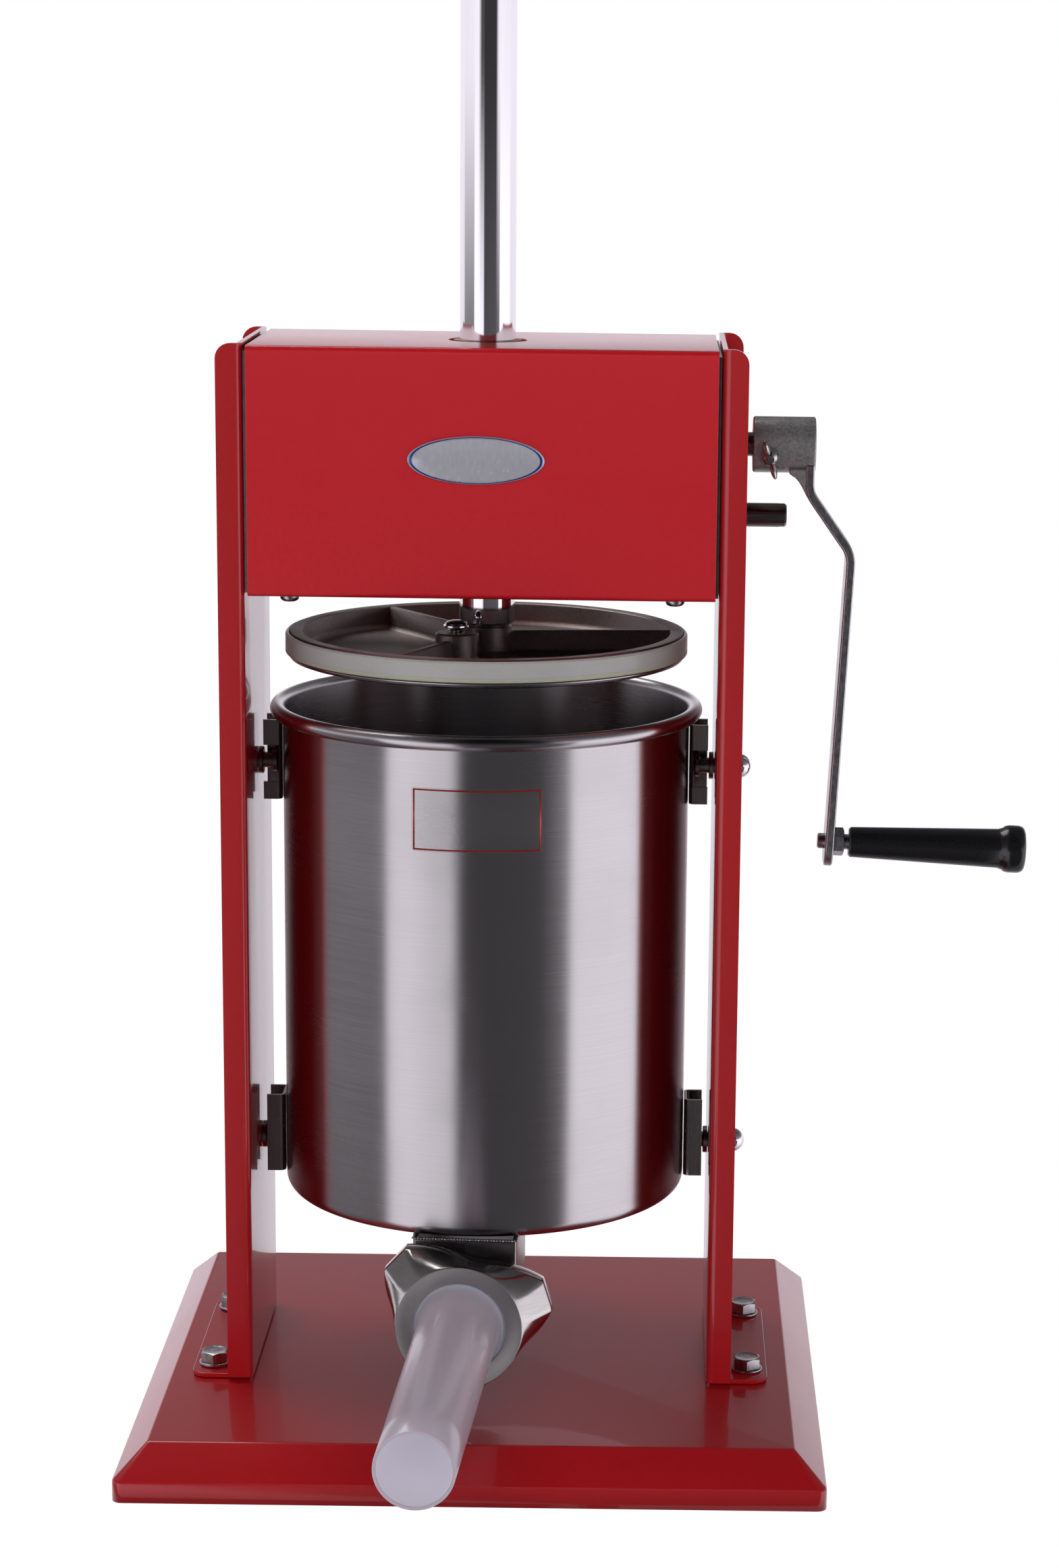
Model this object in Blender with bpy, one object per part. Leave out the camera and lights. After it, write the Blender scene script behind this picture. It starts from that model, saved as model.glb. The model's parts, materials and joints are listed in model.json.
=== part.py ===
"""Hand-cranked two-speed vertical sausage stuffer, one named object for each physical piece.

Metres, +Z up. The origin is the middle of the base's top face, the outlet points to -Y
and the crank is on the +X side. The rod stands on the Z axis.
"""
import math

import bmesh
import bpy
from mathutils import Matrix, Vector

MM = 0.001

# ---------------------------------------------------------------- facets around a circle
WIDE = 48                   # canister and piston
ROUND = 20                  # rod, tube, hubs
SMALL = 12                  # screws and their holes
SLEEVE = 16                 # shafts and bushes

# ---------------------------------------------------------------- clearances
TOUCH = 0.3 * MM            # gap left between pieces that touch
RUN = 0.25 * MM             # radial play of a shaft in its bush
HOLE_PLAY = 0.4 * MM        # radial play of a screw in its hole

# ---------------------------------------------------------------- sizes others follow
CAN_R = 103.5 * MM          # outside of the canister
ROD_R = 14 * MM
UP_TOP = 556 * MM           # top of the uprights
CLEAR_W = 2 * (CAN_R + 13 * MM)     # free width between the two uprights
WEB_IN = CLEAR_W / 2

# ---------------------------------------------------------------- base tray
BASE_W = CLEAR_W + 117 * MM
BASE_D = 322 * MM
BASE_H = 26 * MM
BASE_SLOPE = 16 * MM        # how far the sloped flanges spread out
BASE_LIP = 10.5 * MM        # height of the vertical lip
BASE_T = 2.0 * MM

# ---------------------------------------------------------------- uprights
UP_T = 2.5 * MM             # sheet
UP_FLANGE = 12.8 * MM       # flange width, over the web
UP_D = 120.6 * MM           # depth over the two flanges
UP_CORNER = 7.4 * MM        # rounding of the flanges' top corners
UP_BEND = 3.0 * MM
FOOT_OUT = 32 * MM          # length of a foot, from the web's inner face
FOOT_D = 115 * MM
FOOT_CORNER = 8 * MM
FOOT_BOLT_OUT = 21.5 * MM   # bolt axis, from the web's inner face
FOOT_BOLT_Y = 43 * MM

# ---------------------------------------------------------------- gearbox
COVER_W = CLEAR_W - 3.4 * MM
COVER_D = 120.8 * MM
COVER_LOW = UP_TOP - 123.4 * MM
COVER_TOP = UP_TOP - 1 * MM
COVER_T = 1.2 * MM
COVER_BEND = 2.4 * MM
COVER_HEM = 18 * MM
COVER_HOLE_R = ROD_R + 5.6 * MM
COVER_SCREW_X = COVER_W / 2 - 19.8 * MM
COVER_SCREW_Y = 50 * MM
FRAME_T = 2.6 * MM
FRAME_GAP = 1.7 * MM        # from the cover's inside to the gear frame
FRAME_BOLT_Y = -36 * MM
FRAME_BOLT_Z = (UP_TOP - 99 * MM, UP_TOP - 24 * MM)

BADGE_W = 67 * MM
BADGE_H = 23.5 * MM
BADGE_T = 2.0 * MM
BADGE_X = -2.8 * MM
BADGE_Z = UP_TOP - 55 * MM

# ---------------------------------------------------------------- gear train
PRESSURE = math.radians(25)
BACKLASH = 0.3 * MM
RACK_MODULE = 2.0 * MM
RACK_PINION_TEETH = 12
RACK_PITCH_Y = 10 * MM      # pitch plane of the rack, behind the rod's axis
GEAR_MODULE = 1.5 * MM
SMALL_TEETH = 12
LARGE_TEETH = 36
DRIVE_Z = UP_TOP - 89.5 * MM
SHAFT_R = 6.0 * MM
PINION_FACE = 18 * MM
GEAR_X = 44 * MM
GEAR_FACE = 12 * MM
GEAR_HUB_R = 12 * MM
GEAR_HUB = 10 * MM
PIN_R = 1.5 * MM
DRIVE_END = WEB_IN + 35.2 * MM      # right end of the lower shaft
CRANK_END = WEB_IN + 44.5 * MM        # right end of the upper shaft
BUSH_WALL = 3.0 * MM
BUSH_FLANGE = 2.5 * MM      # how far a bush's flange stands out, and its thickness

# ---------------------------------------------------------------- rod and piston
PISTON_LOW = UP_TOP - 161 * MM      # parked over the canister
ROD_LOW = PISTON_LOW + 17 * MM
ROD_CHAMFER = 1.6 * MM
PISTON_H = 14 * MM
PISTON_R = CAN_R - 3.2 * MM
PISTON_RIM = 7.2 * MM
PISTON_FLOOR = 2.4 * MM
PISTON_LIP = 2.8 * MM
BAND_R = CAN_R - 1.5 * MM
BAND_T = 1.9 * MM
RIB_W = 5.0 * MM
RIB_ANGLES = (5, 125, 245)
HUB_R = 12.5 * MM
BOLT_R = 5.0 * MM           # bolt through the piston into the rod
BOLT_REACH = 14 * MM
VALVE_ANGLE = 244
VALVE_OUT = 32 * MM
VALVE_BOSS_R = 10.4 * MM
VALVE_STEM_R = 2.4 * MM
VALVE_DOME_R = 5.6 * MM
VALVE_POCKET_R = 5.0 * MM
VALVE_STROKE = 2.5 * MM

# ---------------------------------------------------------------- canister
CAN_T = 1.0 * MM
CAN_LOW = 118 * MM
CAN_TOP = UP_TOP - 183 * MM
CAN_CORNER = 6 * MM
BEAD_R = 3.3 * MM
OUTLET_W = 34 * MM
OUTLET_D = 38 * MM
HOOK_H = 41 * MM
HOOK_D = 20 * MM
HOOK_T = 1.6 * MM
HOOK_OUT = WEB_IN - 3.3 * MM       # outer edge of the hooks' flanges, from the Z axis
HOOK_NOTCH = 19 * MM
STUD_Z = (CAN_LOW + 22.5 * MM, CAN_TOP - 33 * MM)
STUD_HEAD_R = 6 * MM
STUD_NECK_R = 4 * MM

# ---------------------------------------------------------------- outlet
OUTLET_YAW = math.radians(-3)   # the outlet is welded on a little off square
NOZZLE_Z = 81.5 * MM
SPOUT_W = 51.8 * MM
SPOUT_FRONT = CAN_R - 0.5 * MM
SPOUT_BACK = CAN_R - 51.5 * MM
SPOUT_T = 2.0 * MM
NOZZLE_R = 24.5 * MM
NOZZLE_BORE_R = 20 * MM
NOZZLE_TIP = SPOUT_FRONT + 20 * MM
NUT_FRONT = SPOUT_FRONT + 29 * MM
NUT_BACK = SPOUT_FRONT + 3 * MM
NUT_WALL = 4 * MM
NUT_HOLE_R = 22.9 * MM
NUT_FACE_R = 31.5 * MM
NUT_LOBE_R = 45.5 * MM
NUT_WAIST_R = 30 * MM
NUT_PHASE = 17.6            # degrees from +X to the first lobe
TUBE_END = SPOUT_FRONT + 213 * MM
TUBE_ROOT_R = 20 * MM
TUBE_TIP_R = 18.75 * MM
TUBE_T = 1.5 * MM
TUBE_FLANGE = 2.6 * MM
GASKET_T = 1.3 * MM

# ---------------------------------------------------------------- crank
HUB_START = WEB_IN + 17.5 * MM
HUB_LENGTH = 31.8 * MM
CRANK_HUB_R = 14.2 * MM
ARM_T = 4.6 * MM
ARM_W = 22 * MM
ARM_START_X = HUB_START + 29 * MM
ARM_START_DROP = 24 * MM    # where the bar bends away from the hub's end
ARM_ELBOW_X = WEB_IN + 68.5 * MM
ARM_ELBOW_DROP = 55 * MM
CRANK_R = 206 * MM
ARM_PAST = 12.5 * MM
ARM_LEAN = math.radians(2.884)
GRIP_TILT = math.radians(1.8)
AXLE_R = 4 * MM
GRIP_START = 10.2 * MM      # along the axle, from the arm's middle
GRIP_LENGTH = 92 * MM
GRIP_R = (7.9 * MM, 10.25 * MM, 12.4 * MM)
GRIP_BULB = 10 * MM
WING_X = HUB_START + 8.2 * MM
WING_TILT = math.radians(15)
WING_SPAN = 20.4 * MM
WING_SCREW_R = 3 * MM

# ---------------------------------------------------------------- derived places
WEB_OUT = WEB_IN + UP_T
FLANGE_OUT = WEB_IN + UP_FLANGE
FOOT_Z = BASE_H + TOUCH
RACK_PINION_R = RACK_MODULE * RACK_PINION_TEETH / 2
SHAFT_Y = RACK_PITCH_Y + RACK_PINION_R
SHAFT_SPACING = GEAR_MODULE * (SMALL_TEETH + LARGE_TEETH) / 2
CRANK_Z = DRIVE_Z + SHAFT_SPACING
PARK_LIFT = 12 * MM                              # rise left above the parked piston
STROKE = PISTON_LOW - (CAN_LOW + CAN_T) - 5 * MM
ROD_LENGTH = STROKE + 159 * MM
CAN_IN_R = CAN_R - CAN_T
HUB_TOP = ROD_LOW - TOUCH
FRAME_LOW = COVER_LOW + COVER_T + 0.5 * MM
FRAME_TOP = COVER_TOP - COVER_T - FRAME_GAP
FRAME_HALF_D = COVER_D / 2 - COVER_T - FRAME_GAP
FRAME_OUT = WEB_IN - TOUCH


# ================================================================ modelling helpers
def material(name, colour, roughness, metallic=0.0, alpha=1.0):
    """One Principled material."""
    mat = bpy.data.materials.new(name)
    mat.use_nodes = True
    shader = mat.node_tree.nodes["Principled BSDF"]
    shader.inputs["Base Color"].default_value = (*colour, 1.0)
    shader.inputs["Roughness"].default_value = roughness
    shader.inputs["Metallic"].default_value = metallic
    shader.inputs["Alpha"].default_value = alpha
    mat.diffuse_color = (*colour, alpha)
    return mat


def as_object(name, bm, mat, place=(0, 0, 0), turn=(0, 0, 0), parent=None):
    """Turn a bmesh into a named object, shaded smooth with sharp edges kept."""
    bmesh.ops.recalc_face_normals(bm, faces=bm.faces[:])
    mesh = bpy.data.meshes.new(name)
    bm.to_mesh(mesh)
    bm.free()
    mesh.shade_smooth()
    mesh.set_sharp_from_angle(angle=math.radians(35))
    mesh.materials.append(mat)
    obj = bpy.data.objects.new(name, mesh)
    bpy.context.scene.collection.objects.link(obj)
    obj.parent = parent
    obj.location = place
    obj.rotation_euler = turn
    return obj


def pivot(name, place, turn=(0, 0, 0), parent=None):
    """An empty on a joint's axis, for pieces that move together."""
    empty = bpy.data.objects.new(name, None)
    bpy.context.scene.collection.objects.link(empty)
    empty.parent = parent
    empty.location = place
    empty.rotation_euler = turn
    return empty


def helper(name, bm, place=(0, 0, 0), turn=(0, 0, 0), parent=None):
    """A cutting or joining shape that is not a piece of the stuffer."""
    obj = as_object(name, bm, TOOL, place, turn, parent)
    obj.hide_render = True
    obj.display_type = "WIRE"
    return obj


def boolean(obj, tool, operation="DIFFERENCE"):
    """Cut, join or trim an object with a helper."""
    step = obj.modifiers.new(tool.name, "BOOLEAN")
    step.operation = operation
    step.solver = "EXACT"
    step.object = tool
    return obj


def circle(radius, count, start=0.0):
    """Points around a circle."""
    steps = (start + 2 * math.pi * k / count for k in range(count))
    return [(radius * math.cos(a), radius * math.sin(a)) for a in steps]


def hexagon(across_flats, count=SMALL):
    """Points around a hexagon, evenly spread in angle so that it meets a circle."""
    points = []
    for k in range(count):
        angle = 2 * math.pi * k / count
        to_flat = (angle + math.pi / 6) % (math.pi / 3) - math.pi / 6
        reach = across_flats / 2 / math.cos(to_flat)
        points.append((reach * math.cos(angle), reach * math.sin(angle)))
    return points


def rounded_box(half_x, half_y, radius, steps=3):
    """Corner points of a rectangle with rounded corners."""
    points = []
    for quarter, (sx, sy) in enumerate(((1, 1), (-1, 1), (-1, -1), (1, -1))):
        for k in range(steps + 1):
            angle = math.pi / 2 * (quarter + k / steps)
            points.append((sx * (half_x - radius) + radius * math.cos(angle),
                           sy * (half_y - radius) + radius * math.sin(angle)))
    return points


def filleted(points, radius, steps=4):
    """An open run of points with each inner corner rounded."""
    run = [Vector(points[0])]
    for before, corner, after in zip(points, points[1:], points[2:]):
        before, corner, after = Vector(before), Vector(corner), Vector(after)
        u, v = (before - corner).normalized(), (after - corner).normalized()
        half = u.angle(v) / 2
        middle = corner + (u + v).normalized() * radius / math.sin(half)
        start = corner + u * radius / math.tan(half)
        end = corner + v * radius / math.tan(half)
        for k in range(steps + 1):
            blend = (start - middle).lerp(end - middle, k / steps)
            run.append(middle + blend.normalized() * radius)
    run.append(Vector(points[-1]))
    return run


def thickened(run, thickness):
    """Outline of a sheet or bar that follows a run of points."""
    left, right = [], []
    for k, point in enumerate(run):
        ahead = (run[min(k + 1, len(run) - 1)] - point)
        behind = (point - run[max(k - 1, 0)])
        along = (ahead.normalized() + behind.normalized()).normalized()
        side = Vector((-along.y, along.x)) * thickness / 2
        left.append(tuple(point + side))
        right.append(tuple(point - side))
    return left + right[::-1]


def stacked(sections, closed=False):
    """Skin through outlines of equal count, each (points, height) along +Z."""
    bm = bmesh.new()
    rings = [[bm.verts.new((x, y, height)) for x, y in points] for points, height in sections]
    for low, high in zip(rings, rings[1:] + rings[:1] if closed else rings[1:]):
        for k in range(len(low)):
            bm.faces.new((low[k - 1], low[k], high[k], high[k - 1]))
    if not closed:
        bm.faces.new(rings[0])
        bm.faces.new(rings[-1])
    return bm


def turned(profile, count=ROUND, closed=False):
    """A solid of revolution from (radius, height) pairs; closed for a hollow ring."""
    return stacked([(circle(r, count), z) for r, z in profile], closed)


def prism(outline, low, high):
    """An outline in XY pulled from one height to another."""
    bm = bmesh.new()
    face = bm.faces.new([bm.verts.new((x, y, low)) for x, y in outline])
    pulled = bmesh.ops.extrude_face_region(bm, geom=[face])
    tops = [v for v in pulled["geom"] if isinstance(v, bmesh.types.BMVert)]
    bmesh.ops.translate(bm, verts=tops, vec=(0, 0, high - low))
    return bm


def block(low, high):
    """A box between two corners."""
    bm = bmesh.new()
    size = Vector(high) - Vector(low)
    middle = (Vector(high) + Vector(low)) / 2
    bmesh.ops.create_cube(bm, size=1, matrix=Matrix.Translation(middle) @ Matrix.Diagonal((*size, 1)))
    return bm


def drill(obj, radius, place, turn=(0, 0, 0), length=40 * MM, parent=None, count=SMALL):
    """A round hole through an object, centred at a place along the turned Z axis."""
    bm = turned([(radius, -length / 2), (radius, length / 2)], count)
    number = len(obj.modifiers)
    return boolean(obj, helper(f"{obj.name}_hole_{number}", bm, place, turn, parent))


ALONG_X = (0, math.pi / 2, 0)       # local Z becomes +X
ALONG_BACK = (-math.pi / 2, 0, 0)   # local Z becomes +Y
ALONG_FRONT = (math.pi / 2, 0, 0)   # local Z becomes -Y


# ================================================================ frame
def base_tray():
    """The bent tray the machine stands on: flat top, sloped flanges, upright lip."""
    half_w, half_d = BASE_W / 2, BASE_D / 2
    top_w, top_d = half_w - BASE_SLOPE, half_d - BASE_SLOPE

    def ring(inset, radius, width, depth, height):
        return rounded_box(width - inset, depth - inset, radius), height
    outside = [
        ring(0, 5 * MM, half_w, half_d, 0),
        ring(0, 5 * MM, half_w, half_d, BASE_LIP - 0.7 * MM),
        ring(0.9 * MM, 5 * MM, half_w, half_d, BASE_LIP + 0.6 * MM),
        ring(-1.0 * MM, 2.5 * MM, top_w, top_d, BASE_H - 1.2 * MM),
        ring(0.9 * MM, 1.5 * MM, top_w, top_d, BASE_H),
    ]
    inside = [
        ring(BASE_T, 1.2 * MM, top_w, top_d, BASE_H - BASE_T),
        ring(BASE_T, 3 * MM, half_w, half_d, BASE_LIP - BASE_T / 2),
        ring(BASE_T, 3 * MM, half_w, half_d, 0),
    ]
    base = as_object("base_pan", stacked(outside), PAINT)
    hollow = stacked([ring(BASE_T, 3 * MM, half_w, half_d, -2 * MM)] + inside[::-1])
    boolean(base, helper("base_pan_hollow", hollow))
    for side in (-1, 1):
        for y in (-FOOT_BOLT_Y, FOOT_BOLT_Y):
            drill(base, 4 * MM + HOLE_PLAY, (side * (WEB_IN + FOOT_BOLT_OUT), y, BASE_H))
    return base


def upright(name, side):
    """A channel upright with its foot bent outwards under it."""
    half = UP_D / 2
    run = filleted([(FLANGE_OUT, -half + UP_T / 2), (WEB_IN + UP_T / 2, -half + UP_T / 2),
                    (WEB_IN + UP_T / 2, half - UP_T / 2), (FLANGE_OUT, half - UP_T / 2)], UP_BEND)
    channel = thickened(run, UP_T)
    post = as_object(name, prism([(side * x, y) for x, y in channel], FOOT_Z, UP_TOP), PAINT)

    corner = [(WEB_IN - UP_T, FOOT_Z - UP_T)]
    corner += [(FLANGE_OUT, FOOT_Z - UP_T)]
    corner += [(FLANGE_OUT - UP_CORNER * (1 - math.cos(a)), UP_TOP - UP_CORNER * (1 - math.sin(a)))
               for a in (math.pi / 2 * k / 4 for k in range(5))]
    corner += [(WEB_IN - UP_T, UP_TOP)]
    shape = prism([(side * x, z) for x, z in corner], -half - UP_T, half + UP_T)
    boolean(post, helper(f"{name}_outline", shape, turn=ALONG_FRONT), "INTERSECT")

    tip = WEB_IN + FOOT_OUT
    foot = rounded_box(tip, FOOT_D / 2, FOOT_CORNER)
    foot = [(max(x, WEB_IN), y) for x, y in foot if x > 0]
    foot += [(WEB_IN, -FOOT_D / 2), (WEB_IN, FOOT_D / 2)]
    foot.sort(key=lambda p: math.atan2(p[1], p[0] - (WEB_IN + FOOT_OUT / 2)))
    sole = prism([(side * x, y) for x, y in foot], FOOT_Z, FOOT_Z + UP_T)
    boolean(post, helper(f"{name}_foot", sole), "UNION")

    for z in (DRIVE_Z, CRANK_Z):
        drill(post, bush_radius() + TOUCH, (side * WEB_IN, SHAFT_Y, z), ALONG_X, 30 * MM, count=SLEEVE)
    for z in STUD_Z:
        drill(post, STUD_NECK_R + HOLE_PLAY, (side * WEB_IN, 0, z), ALONG_X, 20 * MM)
    for z in FRAME_BOLT_Z:
        drill(post, 3 * MM + HOLE_PLAY, (side * WEB_IN, FRAME_BOLT_Y, z), ALONG_X, 20 * MM)
    for y in (-FOOT_BOLT_Y, FOOT_BOLT_Y):
        drill(post, 4 * MM + HOLE_PLAY, (side * (WEB_IN + FOOT_BOLT_OUT), y, FOOT_Z), length=12 * MM)
    return post


def hex_bolt(radius, length, across, head, cap=0.7 * MM, count=SMALL):
    """A hexagon bolt along +Z: shank below zero, head above."""
    return stacked([
        (circle(radius - cap, count), -length),
        (circle(radius, count), -length + cap),
        (circle(radius, count), 0),
        (hexagon(across, count), 0),
        (hexagon(across, count), head - cap),
        (circle(across / 2 - cap / 2, count), head),
    ])


def foot_fasteners():
    """The bolts and washers that hold the uprights' feet to the base."""
    washer_t, washer_r = 1.6 * MM, 8 * MM
    for side, where in ((-1, "left"), (1, "right")):
        for y, end in ((-FOOT_BOLT_Y, "front"), (FOOT_BOLT_Y, "rear")):
            x = side * (WEB_IN + FOOT_BOLT_OUT)
            rest = FOOT_Z + UP_T + TOUCH
            ring = [(washer_r, 0), (washer_r, washer_t), (4 * MM + HOLE_PLAY, washer_t), (4 * MM + HOLE_PLAY, 0)]
            as_object(f"foot_washer_{where}_{end}", turned(ring, SLEEVE, closed=True), ZINC, (x, y, rest))
            bolt = hex_bolt(4 * MM, 18 * MM, 13 * MM, 5.3 * MM)
            as_object(f"foot_bolt_{where}_{end}", bolt, ZINC, (x, y, rest + washer_t + TOUCH))


# ================================================================ gearbox
def bush_radius():
    """Outer radius of a shaft bush's sleeve."""
    return SHAFT_R + RUN + BUSH_WALL


def gear_frame():
    """The welded box inside the cover: two end plates, a bottom and a top plate."""
    box = as_object("gear_frame", block((-FRAME_OUT, -FRAME_HALF_D, FRAME_LOW),
                                        (FRAME_OUT, FRAME_HALF_D, FRAME_TOP)), STEEL)
    inner = FRAME_OUT - FRAME_T
    room = block((-inner, -COVER_D, FRAME_LOW + FRAME_T), (inner, COVER_D, FRAME_TOP - FRAME_T))
    boolean(box, helper("gear_frame_room", room))
    drill(box, ROD_R + RUN + BUSH_WALL + TOUCH, (0, 0, (FRAME_LOW + FRAME_TOP) / 2), length=0.2, count=ROUND)
    for side in (-1, 1):
        for z in (DRIVE_Z, CRANK_Z):
            drill(box, bush_radius() + TOUCH, (side * WEB_IN, SHAFT_Y, z), ALONG_X, 20 * MM, count=SLEEVE)
        for z in FRAME_BOLT_Z:
            drill(box, 3 * MM + HOLE_PLAY, (side * WEB_IN, FRAME_BOLT_Y, z), ALONG_X, 20 * MM)
        for y in (-COVER_SCREW_Y, COVER_SCREW_Y):
            drill(box, 2.5 * MM + HOLE_PLAY, (side * COVER_SCREW_X, y, FRAME_LOW), length=12 * MM)
    for side, where in ((-1, "left"), (1, "right")):
        for z, level in zip(FRAME_BOLT_Z, ("lower", "upper")):
            bolt = hex_bolt(3 * MM, 12 * MM, 10 * MM, 4 * MM)
            as_object(f"frame_bolt_{where}_{level}", bolt, ZINC,
                      (side * (WEB_OUT + TOUCH), FRAME_BOLT_Y, z), (0, side * math.pi / 2, 0))
    return box


def gear_cover():
    """One bent sheet over front, top and back, with a hem along each lower edge."""
    half, low, top = COVER_D / 2 - COVER_T / 2, COVER_LOW + COVER_T / 2, COVER_TOP - COVER_T / 2
    run = filleted([(-half + COVER_HEM, low), (-half, low), (-half, top), (half, top),
                    (half, low), (half - COVER_HEM, low)], COVER_BEND, 3)
    sheet = prism([(y, z) for y, z in thickened(run, COVER_T)], -COVER_W / 2, COVER_W / 2)
    bmesh.ops.rotate(sheet, verts=sheet.verts[:], matrix=Matrix(((0, 0, 1), (1, 0, 0), (0, 1, 0))))
    cover = as_object("gear_cover", sheet, PAINT)
    drill(cover, COVER_HOLE_R, (0, 0, COVER_TOP), length=20 * MM, count=ROUND)
    for side, where in ((-1, "left"), (1, "right")):
        for y, end in ((-COVER_SCREW_Y, "front"), (COVER_SCREW_Y, "rear")):
            drill(cover, 2.5 * MM + HOLE_PLAY, (side * COVER_SCREW_X, y, COVER_LOW), length=8 * MM)
            pan = turned([(2.2 * MM, -10 * MM), (2.5 * MM, -9.6 * MM), (2.5 * MM, 0), (4.7 * MM, 0),
                          (4.7 * MM, 1.6 * MM), (4.0 * MM, 2.7 * MM), (2.6 * MM, 3.1 * MM)], SMALL)
            as_object(f"cover_screw_{where}_{end}", pan, ZINC,
                      (side * COVER_SCREW_X, y, COVER_LOW - TOUCH), (math.pi, 0, 0))
    return cover


def badge():
    """A blank domed oval plate on the cover's front."""
    def oval(inset):
        return [(x * (BADGE_W / 2 - inset), y * (BADGE_H / 2 - inset)) for x, y in circle(1, 36)]
    plate = stacked([(oval(0), 0), (oval(0), 0.9 * MM), (oval(0.6 * MM), 1.4 * MM),
                     (oval(3.5 * MM), 1.6 * MM), (oval(7 * MM), BADGE_T)])
    as_object("badge", plate, CHROME, (BADGE_X, -COVER_D / 2 - TOUCH, BADGE_Z), ALONG_FRONT)


def gear_outline(teeth, module, tooth_at=0.0):
    """Involute outline of a gear, with a tooth centred at the given angle."""
    pitch_r = module * teeth / 2
    base_r = pitch_r * math.cos(PRESSURE)
    tip_r, root_r = pitch_r + 0.9 * module, pitch_r - 1.15 * module
    half_pitch = (math.pi * module / 2 - BACKLASH) / (2 * pitch_r)
    involute = math.tan(PRESSURE) - PRESSURE

    def half_angle(radius):
        at = math.acos(min(1.0, base_r / radius))
        return half_pitch + involute - (math.tan(at) - at)
    start = max(base_r, root_r)
    radii = [start + (tip_r - start) * k / 2 for k in range(3)]
    flank = [(r, half_angle(r)) for r in radii]
    if root_r < base_r:
        flank.insert(0, (root_r, half_angle(base_r)))
    points = []
    for k in range(teeth):
        middle = tooth_at + 2 * math.pi * k / teeth
        tooth = [(r, middle - a) for r, a in flank] + [(r, middle + a) for r, a in flank[::-1]]
        points += [(r * math.cos(a), r * math.sin(a)) for r, a in tooth]
    return points


def rack_cutter():
    """The space behind the rack's teeth, pulled across the rod."""
    pitch = math.pi * RACK_MODULE
    tip_y, root_y = RACK_PITCH_Y + 0.9 * RACK_MODULE, RACK_PITCH_Y - 1.15 * RACK_MODULE
    tooth = math.pi * RACK_MODULE / 2 - BACKLASH
    half_tip = tooth / 2 - (tip_y - RACK_PITCH_Y) * math.tan(PRESSURE)
    half_root = tooth / 2 + (RACK_PITCH_Y - root_y) * math.tan(PRESSURE)
    below = math.ceil((PARK_LIFT + 12 * MM) / pitch)
    above = math.ceil((STROKE + 12 * MM) / pitch)
    outline = []
    for k in range(-below, above):
        z = DRIVE_Z + (k + 0.5) * pitch            # a space faces the pinion's tooth at rest
        outline += [(root_y, z - half_root), (tip_y, z - half_tip), (tip_y, z + half_tip), (root_y, z + half_root)]
    outline = [(2 * ROD_R, outline[0][1])] + outline + [(2 * ROD_R, outline[-1][1])]
    comb = prism(outline, -2 * ROD_R, 2 * ROD_R)
    bmesh.ops.rotate(comb, verts=comb.verts[:], matrix=Matrix(((0, 0, 1), (1, 0, 0), (0, 1, 0))))
    return comb


def shaft(name, right_end, pivot_at, pinion, face, at_x):
    """A shaft on its pivot with a pinion cut on it, ends chamfered."""
    left = -(WEB_OUT + BUSH_FLANGE + 1.2 * MM)
    cut = 1.0 * MM
    bar = turned([(SHAFT_R - cut, left), (SHAFT_R, left + cut), (SHAFT_R, right_end - cut),
                  (SHAFT_R - cut, right_end)], SLEEVE)
    piece = as_object(name, bar, STEEL, turn=ALONG_X, parent=pivot_at)
    toothed = helper(f"{name}_pinion", prism(pinion, at_x - face / 2, at_x + face / 2),
                     turn=ALONG_X, parent=pivot_at)
    return boolean(piece, toothed, "UNION")


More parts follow.
